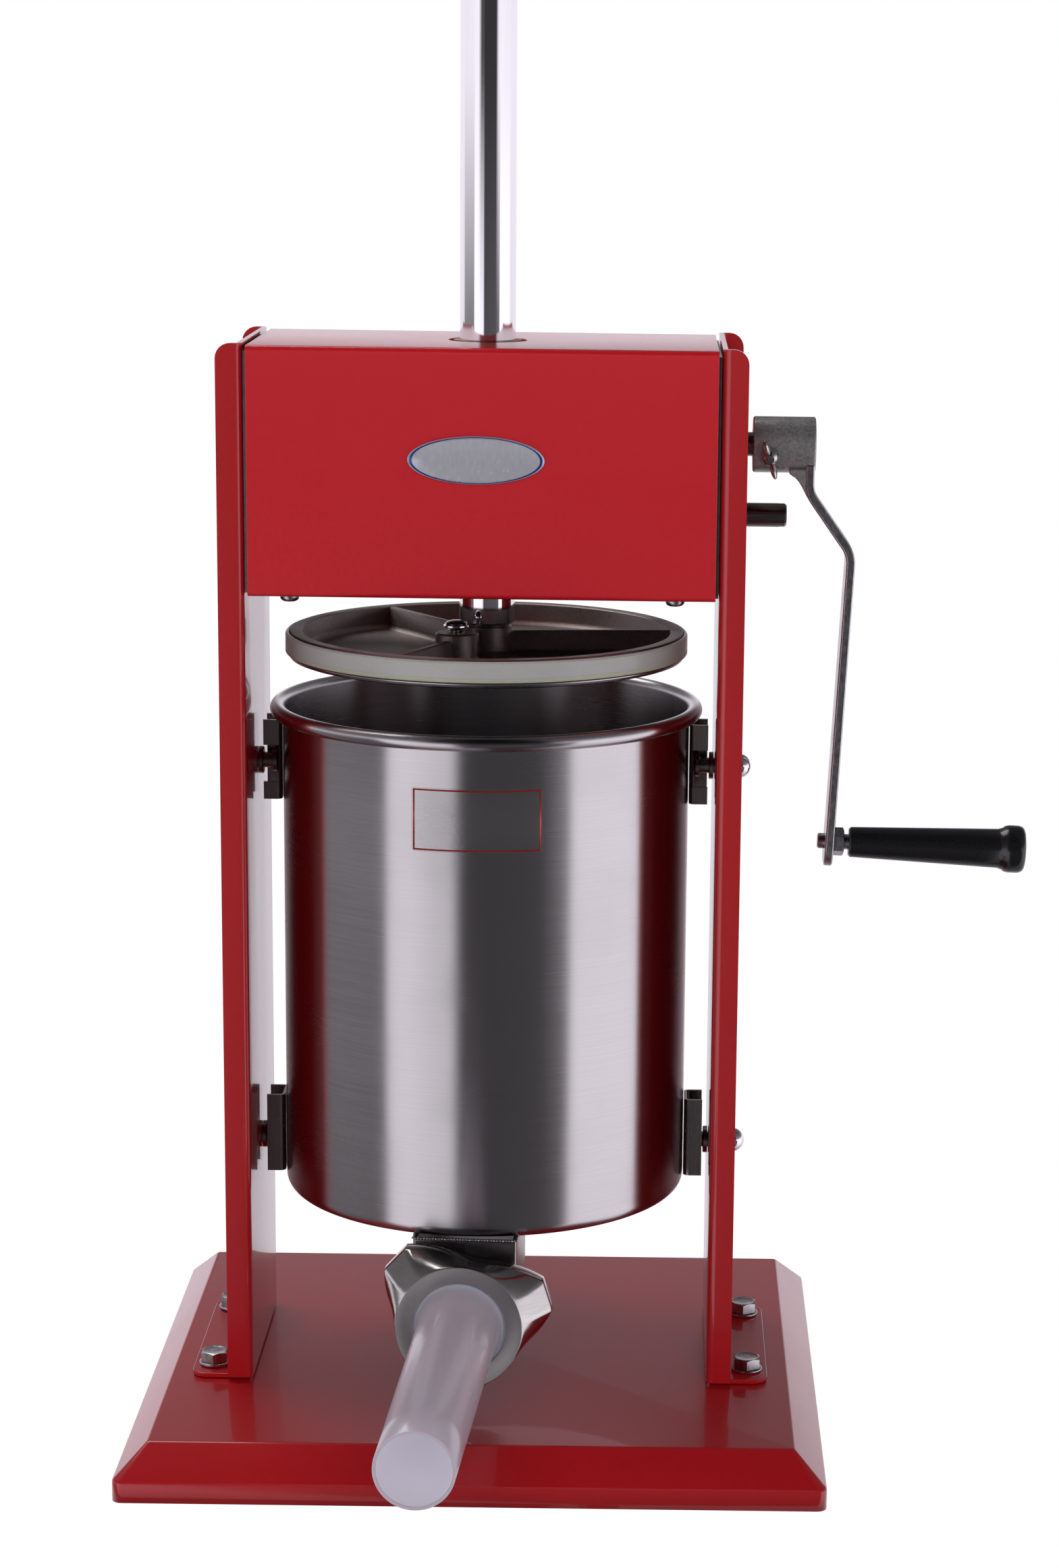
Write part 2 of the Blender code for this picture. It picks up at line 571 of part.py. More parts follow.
def gear_train(crank_pivot, drive_pivot):
    """Both shafts, the large gear with its pin, and the bushes they run in."""
    # About local Z, turned along +X: local +X is world -Z and local +Y is world +Y.
    small = gear_outline(SMALL_TEETH, GEAR_MODULE, math.pi / SMALL_TEETH)
    gear_at = GEAR_X + GEAR_FACE / 2
    shaft("crank_shaft", CRANK_END, crank_pivot, small, GEAR_FACE + 4 * MM, gear_at)
    rack_pinion = gear_outline(RACK_PINION_TEETH, RACK_MODULE, -math.pi / 2)
    drive = shaft("drive_shaft", DRIVE_END, drive_pivot, rack_pinion, PINION_FACE, 0)
    slot = block((-1.2 * MM, -SHAFT_R * 2, -12 * MM), (1.2 * MM, SHAFT_R * 2, 2 * MM))
    boolean(drive, helper("drive_shaft_slot", slot, (DRIVE_END + 8 * MM, 0, 0), ALONG_X, drive_pivot))

    pin_x = GEAR_X + GEAR_FACE + GEAR_HUB / 2
    drill(drive, PIN_R + TOUCH, (pin_x, 0, 0), length=4 * SHAFT_R, parent=drive_pivot)
    wheel = as_object("large_gear", prism(gear_outline(LARGE_TEETH, GEAR_MODULE, math.pi), 0, GEAR_FACE),
                      STEEL, (GEAR_X, 0, 0), ALONG_X, drive_pivot)
    hub = turned([(GEAR_HUB_R, GEAR_FACE / 2), (GEAR_HUB_R, GEAR_FACE + GEAR_HUB)])
    boolean(wheel, helper("large_gear_hub", hub, (GEAR_X, 0, 0), ALONG_X, drive_pivot), "UNION")
    drill(wheel, SHAFT_R + TOUCH, (GEAR_X, 0, 0), ALONG_X, 0.1, drive_pivot, SLEEVE)
    drill(wheel, PIN_R + TOUCH, (pin_x, 0, 0), length=4 * GEAR_HUB_R, parent=drive_pivot)
    pin = turned([(PIN_R - 0.3 * MM, -GEAR_HUB_R + 0.5 * MM), (PIN_R, -GEAR_HUB_R + 1 * MM),
                  (PIN_R, GEAR_HUB_R - 1 * MM), (PIN_R - 0.3 * MM, GEAR_HUB_R - 0.5 * MM)], SMALL)
    as_object("gear_pin", pin, STEEL, (pin_x, 0, 0), parent=drive_pivot)

    inner, outer = SHAFT_R + RUN, bush_radius()
    start, end = FRAME_OUT - FRAME_T - 2 * MM, WEB_OUT + TOUCH
    collar = [(inner, start), (outer, start), (outer, end), (outer + BUSH_FLANGE, end),
              (outer + BUSH_FLANGE, end + BUSH_FLANGE), (inner, end + BUSH_FLANGE)]
    for side, where in ((-1, "left"), (1, "right")):
        for z, level in ((DRIVE_Z, "lower"), (CRANK_Z, "upper")):
            as_object(f"shaft_bush_{where}_{level}", turned(collar, SLEEVE, closed=True), BRONZE,
                      (0, SHAFT_Y, z), (0, side * math.pi / 2, 0))


def rod_and_bushes(rod_pivot):
    """The round rod with rack teeth behind, and the two bushes that guide it."""
    cut = ROD_CHAMFER
    bar = turned([(ROD_R - cut, 0), (ROD_R, cut), (ROD_R, ROD_LENGTH - cut), (ROD_R - cut, ROD_LENGTH)])
    rod = as_object("rod", bar, CHROME, parent=rod_pivot)
    boolean(rod, helper("rod_rack", rack_cutter()))
    drill(rod, BOLT_R + TOUCH, (0, 0, 0), length=2 * (BOLT_REACH + 3 * MM), parent=rod_pivot)

    inner, outer = ROD_R + RUN, ROD_R + RUN + BUSH_WALL
    wide = outer + 3 * MM
    lower = [(inner, -3 * MM), (outer, -3 * MM), (outer, FRAME_T + TOUCH), (wide, FRAME_T + TOUCH),
             (wide, FRAME_T + 3 * MM), (inner, FRAME_T + 3 * MM)]
    as_object("rod_bush_lower", turned(lower, closed=True), BRONZE, (0, 0, FRAME_LOW))
    as_object("rod_bush_upper", turned(lower, closed=True), BRONZE, (0, 0, FRAME_TOP), (math.pi, 0, 0))


# ================================================================ piston
def piston(rod_pivot, valve_pivot):
    """The cast disc with ribs, hub and valve boss, with its seal, bolt and air valve."""
    low, top = 0, PISTON_H
    floor = low + PISTON_FLOOR
    rim_in = PISTON_R - PISTON_RIM
    seat = BAND_R - BAND_T - TOUCH
    profile = [(PISTON_R - 2.6 * MM, low), (PISTON_R - 0.8 * MM, low + 0.7 * MM),
               (PISTON_R, low + PISTON_LIP - 0.6 * MM), (PISTON_R - 0.3 * MM, low + PISTON_LIP),
               (seat, low + PISTON_LIP), (seat, top - 0.4 * MM), (seat - 0.5 * MM, top),
               (rim_in, top), (rim_in - 1.2 * MM, floor + 1.2 * MM), (rim_in - 2.6 * MM, floor),
               (rim_in - 30 * MM, floor)]
    place = (0, 0, PISTON_LOW - ROD_LOW)
    disc = as_object("piston", turned(profile, WIDE), ALUMINIUM, place, parent=rod_pivot)
    hub_top = HUB_TOP - PISTON_LOW
    hub = turned([(HUB_R + 1.5 * MM, floor / 2), (HUB_R, floor + 2 * MM), (HUB_R, hub_top)])
    boolean(disc, helper("piston_hub", hub, place, parent=rod_pivot), "UNION")
    boss = turned([(VALVE_BOSS_R + 1 * MM, floor / 2), (VALVE_BOSS_R, floor + 1.5 * MM),
                   (VALVE_BOSS_R, hub_top)])
    valve = (VALVE_OUT * math.cos(math.radians(VALVE_ANGLE)), VALVE_OUT * math.sin(math.radians(VALVE_ANGLE)), 0)
    spot = (valve[0], valve[1], place[2])
    boolean(disc, helper("piston_boss", boss, spot, parent=rod_pivot), "UNION")
    for k, angle in enumerate(RIB_ANGLES):
        rib = block((0, -RIB_W / 2, floor / 2), (rim_in + 2 * MM, RIB_W / 2, top - 0.3 * MM))
        tool = helper(f"piston_rib_{k}", rib, place, (0, 0, math.radians(angle)), rod_pivot)
        boolean(disc, tool, "UNION")
    drill(disc, BOLT_R + HOLE_PLAY, place, length=0.1, parent=rod_pivot)
    counterbore = turned([(9 * MM, -5 * MM), (9 * MM, 6 * MM)])
    boolean(disc, helper("piston_counterbore", counterbore, place, parent=rod_pivot))
    drill(disc, VALVE_STEM_R + HOLE_PLAY, spot, length=0.1, parent=rod_pivot)
    pocket = turned([(VALVE_POCKET_R, hub_top - 7 * MM), (VALVE_POCKET_R, hub_top + 5 * MM)], SLEEVE)
    boolean(disc, helper("piston_pocket", pocket, spot, parent=rod_pivot))

    lip, inner = 0.8 * MM, seat + TOUCH
    band_low, band_top = PISTON_LIP + TOUCH, PISTON_H - 0.6 * MM
    band = [(inner, band_low), (BAND_R - lip, band_low), (BAND_R, band_low + lip),
            (BAND_R, band_top - lip), (BAND_R - lip, band_top), (inner, band_top)]
    as_object("piston_seal", turned(band, WIDE, closed=True), SILICONE, place, parent=rod_pivot)

    bolt = hex_bolt(BOLT_R, HUB_TOP - PISTON_LOW - 6 * MM + BOLT_REACH, 15 * MM, 4.8 * MM)
    as_object("piston_bolt", bolt, STAINLESS, (0, 0, PISTON_LOW + 5.7 * MM - ROD_LOW), (math.pi, 0, 0), rod_pivot)

    dome = VALVE_DOME_R
    open_at = HUB_TOP - PISTON_LOW + VALVE_STROKE + TOUCH
    disc_top = -TOUCH
    stem = [(6.5 * MM, disc_top - 2 * MM), (7.5 * MM, disc_top - 1.6 * MM), (7.5 * MM, disc_top),
            (VALVE_STEM_R, disc_top), (VALVE_STEM_R, open_at), (dome + 0.9 * MM, open_at),
            (dome + 0.9 * MM, open_at + 0.9 * MM), (dome, open_at + 1 * MM), (dome, open_at + 1.6 * MM)]
    stem += [(dome * math.cos(a), open_at + 1.6 * MM + 0.32 * dome * math.sin(a))
             for a in (math.radians(d) for d in (25, 50, 75))]
    as_object("valve_stem", turned(stem, SMALL), CHROME, parent=valve_pivot)

    mean, wire, coils, around = 3.9 * MM, 0.45 * MM, 4, 8
    seat_z = HUB_TOP - PISTON_LOW - 7 * MM + TOUCH + wire
    rise = open_at - seat_z - wire - TOUCH
    path = bpy.data.curves.new("valve_spring", "CURVE")
    path.dimensions = "3D"
    path.bevel_depth = wire
    path.bevel_resolution = 1
    path.use_fill_caps = True
    line = path.splines.new("POLY")
    line.points.add(coils * around)
    for k, point in enumerate(line.points):
        angle = 2 * math.pi * k / around
        height = seat_z + rise * k / (coils * around)
        point.co = (mean * math.cos(angle), mean * math.sin(angle), height, 1)
    spring = bpy.data.objects.new("valve_spring", path)
    path.materials.append(STAINLESS)
    bpy.context.scene.collection.objects.link(spring)
    spring.parent = valve_pivot


# ================================================================ canister
def canister(can_pivot):
    """The open cylinder with a rolled rim and an outlet opening in its floor."""
    top = CAN_TOP - BEAD_R
    bead = [(CAN_R + BEAD_R * (1 - math.cos(a)), top + BEAD_R * math.sin(a))
            for a in (math.radians(d) for d in range(0, 226, 45))]
    profile = [(CAN_IN_R - CAN_CORNER, CAN_LOW + CAN_T), (CAN_IN_R - CAN_CORNER * 0.3, CAN_LOW + CAN_CORNER * 0.35),
               (CAN_IN_R, CAN_LOW + CAN_CORNER), (CAN_IN_R, top)]
    profile += [(CAN_IN_R + 0.7 * MM, CAN_TOP - 1 * MM)]
    profile += bead[1:]
    profile += [(CAN_R, top - BEAD_R * 1.1), (CAN_R, CAN_LOW + CAN_CORNER),
                (CAN_R - CAN_CORNER * 0.3, CAN_LOW + CAN_CORNER * 0.3), (CAN_R - CAN_CORNER, CAN_LOW)]
    low = STUD_Z[0]
    local = [(r, z - low) for r, z in profile]
    can = as_object("canister", turned(local, WIDE), STAINLESS, parent=can_pivot)
    near, wide = SPOUT_FRONT - SPOUT_T - 4 * MM, OUTLET_W / 2
    hole = block((-wide, -near, CAN_LOW - low - 5 * MM), (wide, -near + OUTLET_D, CAN_LOW - low + 5 * MM))
    boolean(can, helper("canister_outlet", hole, turn=(0, 0, OUTLET_YAW), parent=can_pivot))
    return can


def hooks_and_studs(can_pivot):
    """Four hook brackets on the canister, and the studs and dome nuts they hang on."""
    half, low = HOOK_D / 2, STUD_Z[0]
    back = CAN_R + TOUCH
    for side, where in ((-1, "left"), (1, "right")):
        for z, level in zip(STUD_Z, ("lower", "upper")):
            run = filleted([(HOOK_OUT, -half + HOOK_T / 2), (back + HOOK_T / 2, -half + HOOK_T / 2),
                            (back + HOOK_T / 2, half - HOOK_T / 2), (HOOK_OUT, half - HOOK_T / 2)],
                           2 * MM, 3)
            outline = [(side * x, y) for x, y in thickened(run, HOOK_T)]
            bottom = z - low - (HOOK_H - 24 * MM if level == "lower" else HOOK_H / 2 - 2 * MM)
            hook = as_object(f"hook_{where}_{level}", prism(outline, bottom, bottom + HOOK_H),
                             STAINLESS, parent=can_pivot)
            if level == "lower":
                inner = block((back + HOOK_T / 2, -half + HOOK_T / 2, z - low + STUD_HEAD_R + TOUCH),
                              (HOOK_OUT, half - HOOK_T / 2, z - low + STUD_HEAD_R + TOUCH + HOOK_T))
                tool = helper(f"hook_{where}_saddle", inner, turn=(0, 0, 0 if side > 0 else math.pi),
                              parent=can_pivot)
                boolean(hook, tool, "UNION")
            else:
                gap = block((back + HOOK_T, -half * 2, z - low - HOOK_NOTCH / 2),
                            (HOOK_OUT + 5 * MM, 0, z - low + HOOK_NOTCH / 2))
                if side < 0:
                    bmesh.ops.transform(gap, matrix=Matrix.Scale(-1, 4, (1, 0, 0)), verts=gap.verts[:])
                boolean(hook, helper(f"hook_{where}_notch", gap, parent=can_pivot))
            stud_with_nut(f"{where}_{level}", side, z)


def stud_with_nut(name, side, z):
    """A headed stud through the upright's web, with a dome nut outside."""
    head_in = CAN_R + HOOK_T + 1.2 * MM
    web, out = WEB_IN - TOUCH, FLANGE_OUT
    neck, head = STUD_NECK_R, STUD_HEAD_R
    stud = turned([(head - 0.6 * MM, head_in), (head, head_in + 0.6 * MM), (head, head_in + 3 * MM),
                   (neck, head_in + 3.4 * MM), (neck, HOOK_OUT + 0.7 * MM), (head + 1 * MM, HOOK_OUT + 0.7 * MM),
                   (head + 1 * MM, web), (neck, web), (neck, out - 3 * MM)], SMALL)
    as_object(f"stud_{name}", stud, STAINLESS, (0, 0, z), (0, side * math.pi / 2, 0))
    bore, rest = neck + TOUCH, WEB_OUT + TOUCH
    dome = 6.2 * MM
    end = out + 6.4 * MM
    nut = [(hexagon(13 * MM), rest), (hexagon(13 * MM), rest + 6 * MM),
           (circle(dome, SMALL), rest + 6.6 * MM), (circle(dome, SMALL), end - dome)]
    nut += [(circle(dome * math.cos(a), SMALL), end - dome + dome * math.sin(a))
            for a in (math.radians(d) for d in (30, 60, 80))]
    solid = stacked(nut)
    shell = as_object(f"dome_nut_{name}", solid, CHROME, (0, 0, z), (0, side * math.pi / 2, 0))
    drill(shell, bore, (0, 0, z), ALONG_X, 2 * (out - 2 * MM))
    return shell


# ================================================================ outlet
def spout(outlet):
    """The welded elbow under the canister: a box with a round bottom and a nozzle."""
    half = SPOUT_W / 2
    top = CAN_LOW - TOUCH - NOZZLE_Z

    def shape(inset, height):
        reach = half - inset
        arc = [(reach * math.cos(a), reach * math.sin(a)) for a in (math.pi + math.pi * k / 10 for k in range(11))]
        return arc + [(reach, height), (-reach, height)]

    def pulled(outline, near, far):
        bm = prism(outline, near, far)
        return bm
    body = as_object("spout", pulled(shape(0, top), SPOUT_BACK, SPOUT_FRONT), STAINLESS, turn=ALONG_FRONT, parent=outlet)
    nose = turned([(NOZZLE_R, SPOUT_FRONT - 4 * MM), (NOZZLE_R, NOZZLE_TIP - 1 * MM),
                   (NOZZLE_R - 1 * MM, NOZZLE_TIP)])
    boolean(body, helper("spout_nozzle", nose, turn=ALONG_FRONT, parent=outlet), "UNION")
    cavity = pulled(shape(SPOUT_T, top + 5 * MM), SPOUT_BACK + SPOUT_T, SPOUT_FRONT - SPOUT_T)
    boolean(body, helper("spout_cavity", cavity, turn=ALONG_FRONT, parent=outlet))
    bore = turned([(NOZZLE_BORE_R, SPOUT_FRONT - 10 * MM), (NOZZLE_BORE_R, NOZZLE_TIP + 5 * MM)])
    boolean(body, helper("spout_bore", bore, turn=ALONG_FRONT, parent=outlet))
    return body


def ring_nut(outlet):
    """The three-lobed cast nut that clamps the tube to the nozzle."""
    count = 48

    def lobed(lobe, waist):
        points = []
        for k in range(count):
            angle = 2 * math.pi * k / count
            off = (math.degrees(angle) - NUT_PHASE + 60) % 120 - 60
            spread = max(0.0, (abs(off) - 10) / 50)
            reach = lobe if spread == 0 else waist + (lobe - waist) * (1 - spread) ** 1.7
            points.append((reach * math.cos(angle), reach * math.sin(angle)))
        return points
    bore = NOZZLE_R + 0.6 * MM
    inner_face = NUT_FRONT - NUT_WALL
    sections = [
        (circle(bore, count), NUT_BACK),
        (lobed(NUT_LOBE_R - 6 * MM, NUT_WAIST_R - 2 * MM), NUT_BACK),
        (lobed(NUT_LOBE_R, NUT_WAIST_R), NUT_BACK + 4 * MM),
        (lobed(NUT_LOBE_R, NUT_WAIST_R), NUT_BACK + 13 * MM),
        (lobed(NUT_LOBE_R - 9 * MM, NUT_FACE_R), NUT_FRONT - 4 * MM),
        (lobed(NUT_FACE_R + 0.4 * MM, NUT_FACE_R - 0.4 * MM), NUT_FRONT),
        (circle(NUT_HOLE_R, count), NUT_FRONT),
        (circle(NUT_HOLE_R, count), inner_face),
        (circle(bore, count), inner_face),
    ]
    as_object("ring_nut", stacked(sections, closed=True), STAINLESS, turn=ALONG_FRONT, parent=outlet)


def tube_and_gasket(outlet):
    """The plastic stuffing tube held by its flange, and the flat gasket behind it."""
    flange_front = NUT_FRONT - NUT_WALL - TOUCH
    flange_back = flange_front - TUBE_FLANGE
    flange_r, dome_r = NOZZLE_R - 0.5 * MM, NUT_HOLE_R - 0.6 * MM
    profile = [(NOZZLE_BORE_R - 1 * MM, flange_back), (flange_r, flange_back), (flange_r, flange_front),
               (dome_r, flange_front), (dome_r, flange_front + 2 * MM)]
    profile += [(TUBE_ROOT_R + (dome_r - TUBE_ROOT_R) * (1 - math.sin(a)), flange_front + 2 * MM + 9 * MM * (1 - math.cos(a)))
                for a in (math.radians(d) for d in (30, 60, 90))]
    profile += [(TUBE_TIP_R, TUBE_END), (TUBE_TIP_R - TUBE_T, TUBE_END), (TUBE_ROOT_R - TUBE_T, flange_front + 11 * MM)]
    as_object("stuffing_tube", turned(profile, closed=True), PLASTIC, turn=ALONG_FRONT, parent=outlet)
    front = flange_back - TOUCH
    back = front - GASKET_T
    flat = [(NOZZLE_BORE_R, back), (flange_r, back), (flange_r, front), (NOZZLE_BORE_R, front)]
    as_object("tube_gasket", turned(flat, closed=True), SILICONE, turn=ALONG_FRONT, parent=outlet)


# ================================================================ crank
def crank(crank_pivot):
    """The crank arm with its hub, and the wing screw that clamps it to the shaft."""
    hub = turned([(CRANK_HUB_R - 1 * MM, HUB_START), (CRANK_HUB_R, HUB_START + 1 * MM),
                  (CRANK_HUB_R, HUB_START + HUB_LENGTH - 1 * MM), (CRANK_HUB_R - 1 * MM, HUB_START + HUB_LENGTH)])
    arm = as_object("crank_arm", hub, CAST, turn=ALONG_X, parent=crank_pivot)
    low = CRANK_R + ARM_PAST
    lean = (low - ARM_ELBOW_DROP) * math.tan(ARM_LEAN)
    run = filleted([(ARM_START_X, -8 * MM), (ARM_START_X, -ARM_START_DROP), (ARM_ELBOW_X, -ARM_ELBOW_DROP),
                    (ARM_ELBOW_X - lean, -low)], 16 * MM)
    bar = prism(thickened(run, ARM_T), -ARM_W / 2, ARM_W / 2)
    ends = [e for e in bar.edges if all(v.co.y < -low + ARM_T for v in e.verts)
            and abs(e.verts[0].co.z - e.verts[1].co.z) < ARM_T and e.calc_length() > ARM_T * 0.9]
    bmesh.ops.bevel(bar, geom=ends, offset=ARM_W * 0.42, segments=4, affect="EDGES", profile=0.5)
    boolean(arm, helper("crank_arm_bar", bar, turn=(math.pi / 2, 0, 0), parent=crank_pivot), "UNION")
    web = [(-10.5, -11.5), (-10.5, -14.6), (-7.5, -16.6), (-4.5, -20.4), (-1.8, -25.0), (0.9, -29.4), (2.0, -27.5),
           (2.0, -11.5)]
    gusset = prism([(ARM_START_X + x * MM, z * MM) for x, z in web], -ARM_W / 2 + 1 * MM, ARM_W / 2 - 1 * MM)
    boolean(arm, helper("crank_arm_gusset", gusset, turn=(math.pi / 2, 0, 0), parent=crank_pivot), "UNION")
    drill(arm, SHAFT_R + TOUCH, (HUB_START, 0, 0), ALONG_X, 0.1, crank_pivot, SLEEVE)

    seat = pivot("wing_seat", (WING_X, 0, 0), (math.pi / 2 + WING_TILT, 0, 0), crank_pivot)
    drill(arm, WING_SCREW_R + HOLE_PLAY, (0, 0, CRANK_HUB_R), length=2 * CRANK_HUB_R - 4 * MM, parent=seat)
    head = CRANK_HUB_R + 0.6 * MM
    screw = turned([(WING_SCREW_R - 0.5 * MM, SHAFT_R + 0.8 * MM), (WING_SCREW_R, SHAFT_R + 1.4 * MM),
                    (WING_SCREW_R, head), (4.2 * MM, head), (3.6 * MM, head + 5.5 * MM), (2.4 * MM, head + 7 * MM)], SMALL)
    wing = as_object("wing_screw", screw, CAST, parent=seat)
    half = WING_SPAN / 2
    outline = [(-half, 9 * MM), (-half + 3 * MM, 11.5 * MM), (-2 * MM, 6 * MM), (2 * MM, 6 * MM),
               (half - 3 * MM, 11.5 * MM), (half, 9 * MM), (half - 1.5 * MM, 4.5 * MM), (3 * MM, 0.8 * MM),
               (-3 * MM, 0.8 * MM), (-half + 1.5 * MM, 4.5 * MM)]
    blade = prism([(x, z + head) for x, z in outline], -1.1 * MM, 1.1 * MM)
    bmesh.ops.rotate(blade, verts=blade.verts[:], matrix=Matrix.Rotation(math.pi / 2, 3, "X"))
    boolean(wing, helper("wing_blade", blade, turn=(0, 0, math.radians(107)), parent=seat), "UNION")
    return arm


def grip(crank_pivot, arm):
    """The turning grip on its axle, and the nut that locks the axle to the arm."""
    middle_x = ARM_ELBOW_X - (CRANK_R - ARM_ELBOW_DROP) * math.tan(ARM_LEAN)
    axis = pivot("grip_axis", (middle_x, 0, -CRANK_R), (0, math.pi / 2 + GRIP_TILT, 0), crank_pivot)
    drill(arm, AXLE_R + HOLE_PLAY, (0, 0, 0), length=30 * MM, parent=axis)
    end = GRIP_START + GRIP_LENGTH
    sink = 7 * MM
    axle = turned([(AXLE_R - 0.7 * MM, -6 * MM), (AXLE_R, -5.3 * MM), (AXLE_R, end - sink - 0.2 * MM),
                   (6.2 * MM, end - sink - 0.2 * MM), (6.2 * MM, end - sink + 3 * MM), (5.2 * MM, end - sink + 4 * MM)], SLEEVE)
    as_object("grip_axle", axle, ZINC, parent=axis)
    base = ARM_T / 2 + TOUCH
    nut = [(circle(AXLE_R + TOUCH, SMALL), base), (hexagon(13 * MM), base), (hexagon(13 * MM), base + 5.2 * MM),
           (circle(AXLE_R + TOUCH, SMALL), base + 5.2 * MM)]
    as_object("grip_nut", stacked(nut, closed=True), ZINC, parent=axis)
    slim, wide, bulb = GRIP_R
    neck = end - GRIP_BULB
    bore = AXLE_R + RUN
    outline = [(bore, GRIP_START), (slim - 0.8 * MM, GRIP_START), (slim, GRIP_START + 0.8 * MM),
               (wide, neck - 4 * MM), (bulb - 0.6 * MM, neck), (bulb, neck + 2 * MM), (bulb, end - 3 * MM),
               (bulb - 1 * MM, end - 1 * MM), (bulb - 2.6 * MM, end), (7 * MM, end), (7 * MM, end - sink - 1 * MM),
               (bore, end - sink - 1 * MM)]
    as_object("grip", turned(outline, closed=True), BLACK, parent=axis)


# ================================================================ the whole machine
for old in list(bpy.data.objects):
    bpy.data.objects.remove(old)

TOOL = material("tool", (0.5, 0.5, 0.5), 0.5)
PAINT = material("red_paint", (0.42, 0.012, 0.02), 0.32)
STAINLESS = material("stainless", (0.55, 0.54, 0.53), 0.28, 1.0)
CHROME = material("chrome", (0.75, 0.75, 0.77), 0.08, 1.0)
ZINC = material("zinc", (0.55, 0.54, 0.52), 0.3, 1.0)
CAST = material("cast_zinc", (0.45, 0.45, 0.44), 0.4, 1.0)
STEEL = material("dark_steel", (0.2, 0.2, 0.2), 0.4, 1.0)
BRONZE = material("bronze", (0.5, 0.3, 0.12), 0.35, 1.0)
ALUMINIUM = material("aluminium", (0.42, 0.39, 0.38), 0.5, 1.0)
SILICONE = material("silicone", (0.66, 0.65, 0.66), 0.45)
PLASTIC = material("tube_plastic", (0.72, 0.68, 0.76), 0.25)
BLACK = material("black_plastic", (0.015, 0.015, 0.016), 0.35)

crank_axis = pivot("crank_axis", (0, SHAFT_Y, CRANK_Z))
drive_axis = pivot("drive_axis", (0, SHAFT_Y, DRIVE_Z))
rod_axis = pivot("rod_axis", (0, 0, ROD_LOW))
valve_axis = pivot("valve_axis", (VALVE_OUT * math.cos(math.radians(VALVE_ANGLE)),
                                  VALVE_OUT * math.sin(math.radians(VALVE_ANGLE)), PISTON_LOW - ROD_LOW),
                   parent=rod_axis)
can_axis = pivot("canister_axis", (0, 0, STUD_Z[0]))
outlet_axis = pivot("outlet_axis", (0, 0, NOZZLE_Z - STUD_Z[0]), (0, 0, OUTLET_YAW), can_axis)

base_tray()
upright("left_upright", -1)
upright("right_upright", 1)
foot_fasteners()
gear_frame()
gear_cover()
badge()
gear_train(crank_axis, drive_axis)
rod_and_bushes(rod_axis)
piston(rod_axis, valve_axis)
canister(can_axis)
hooks_and_studs(can_axis)
spout(outlet_axis)
ring_nut(outlet_axis)
tube_and_gasket(outlet_axis)
crank_bar = crank(crank_axis)
grip(crank_axis, crank_bar)

# Heights above are measured from the table. The origin is the middle of the base's top face.
base_top = pivot("base_top", (0, 0, -BASE_H))
for loose in bpy.data.objects:
    if loose.parent is None and loose != base_top:
        loose.parent = base_top
bpy.context.view_layer.update()
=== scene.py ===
"""Hand-cranked vertical sausage stuffer: the visible pieces, their finishes, the studio and the camera.

Metres, +Z up. The origin is the middle of the base's top face, the outlet points to -Y.
"""
from __future__ import annotations

import json
import logging
import math
from dataclasses import dataclass
from enum import Enum
from typing import Callable, Iterable, Sequence

import bmesh
import bpy
from mathutils import Matrix, Vector

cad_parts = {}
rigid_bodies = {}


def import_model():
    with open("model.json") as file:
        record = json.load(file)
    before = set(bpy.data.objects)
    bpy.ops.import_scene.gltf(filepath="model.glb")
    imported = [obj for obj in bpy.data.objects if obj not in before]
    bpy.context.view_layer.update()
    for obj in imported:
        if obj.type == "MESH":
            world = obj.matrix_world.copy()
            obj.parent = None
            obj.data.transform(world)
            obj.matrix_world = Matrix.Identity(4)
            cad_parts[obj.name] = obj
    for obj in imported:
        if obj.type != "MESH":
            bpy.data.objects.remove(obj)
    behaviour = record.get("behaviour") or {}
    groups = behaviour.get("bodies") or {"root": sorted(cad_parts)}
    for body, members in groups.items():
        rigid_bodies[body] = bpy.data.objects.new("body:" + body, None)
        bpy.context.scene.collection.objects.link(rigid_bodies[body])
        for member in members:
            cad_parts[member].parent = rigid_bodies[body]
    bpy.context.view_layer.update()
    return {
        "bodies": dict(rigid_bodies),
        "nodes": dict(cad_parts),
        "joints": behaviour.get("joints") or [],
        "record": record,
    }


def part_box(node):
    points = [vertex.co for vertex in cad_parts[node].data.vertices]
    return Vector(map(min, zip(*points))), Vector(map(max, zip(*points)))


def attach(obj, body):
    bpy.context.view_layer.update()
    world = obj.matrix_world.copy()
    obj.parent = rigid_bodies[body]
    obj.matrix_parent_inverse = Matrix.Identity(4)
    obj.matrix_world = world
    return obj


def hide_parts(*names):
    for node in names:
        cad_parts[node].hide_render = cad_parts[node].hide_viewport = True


log = logging.getLogger("stuffer")

MM = 0.001
TABLE = -26 * MM                 # height of the table, which is below the origin
ROUND = 96                       # segments round most turned pieces
FINE = 160                       # segments round the piston
EDGE_STEPS = 3                   # segments of a softened edge
BEVEL_STEPS = 2                  # segments of a box's bevel
Point = tuple[float, float]


def above(height_mm: float) -> float:
    """Height in the part's frame of a point so many millimetres above the table."""
    return TABLE + height_mm * MM


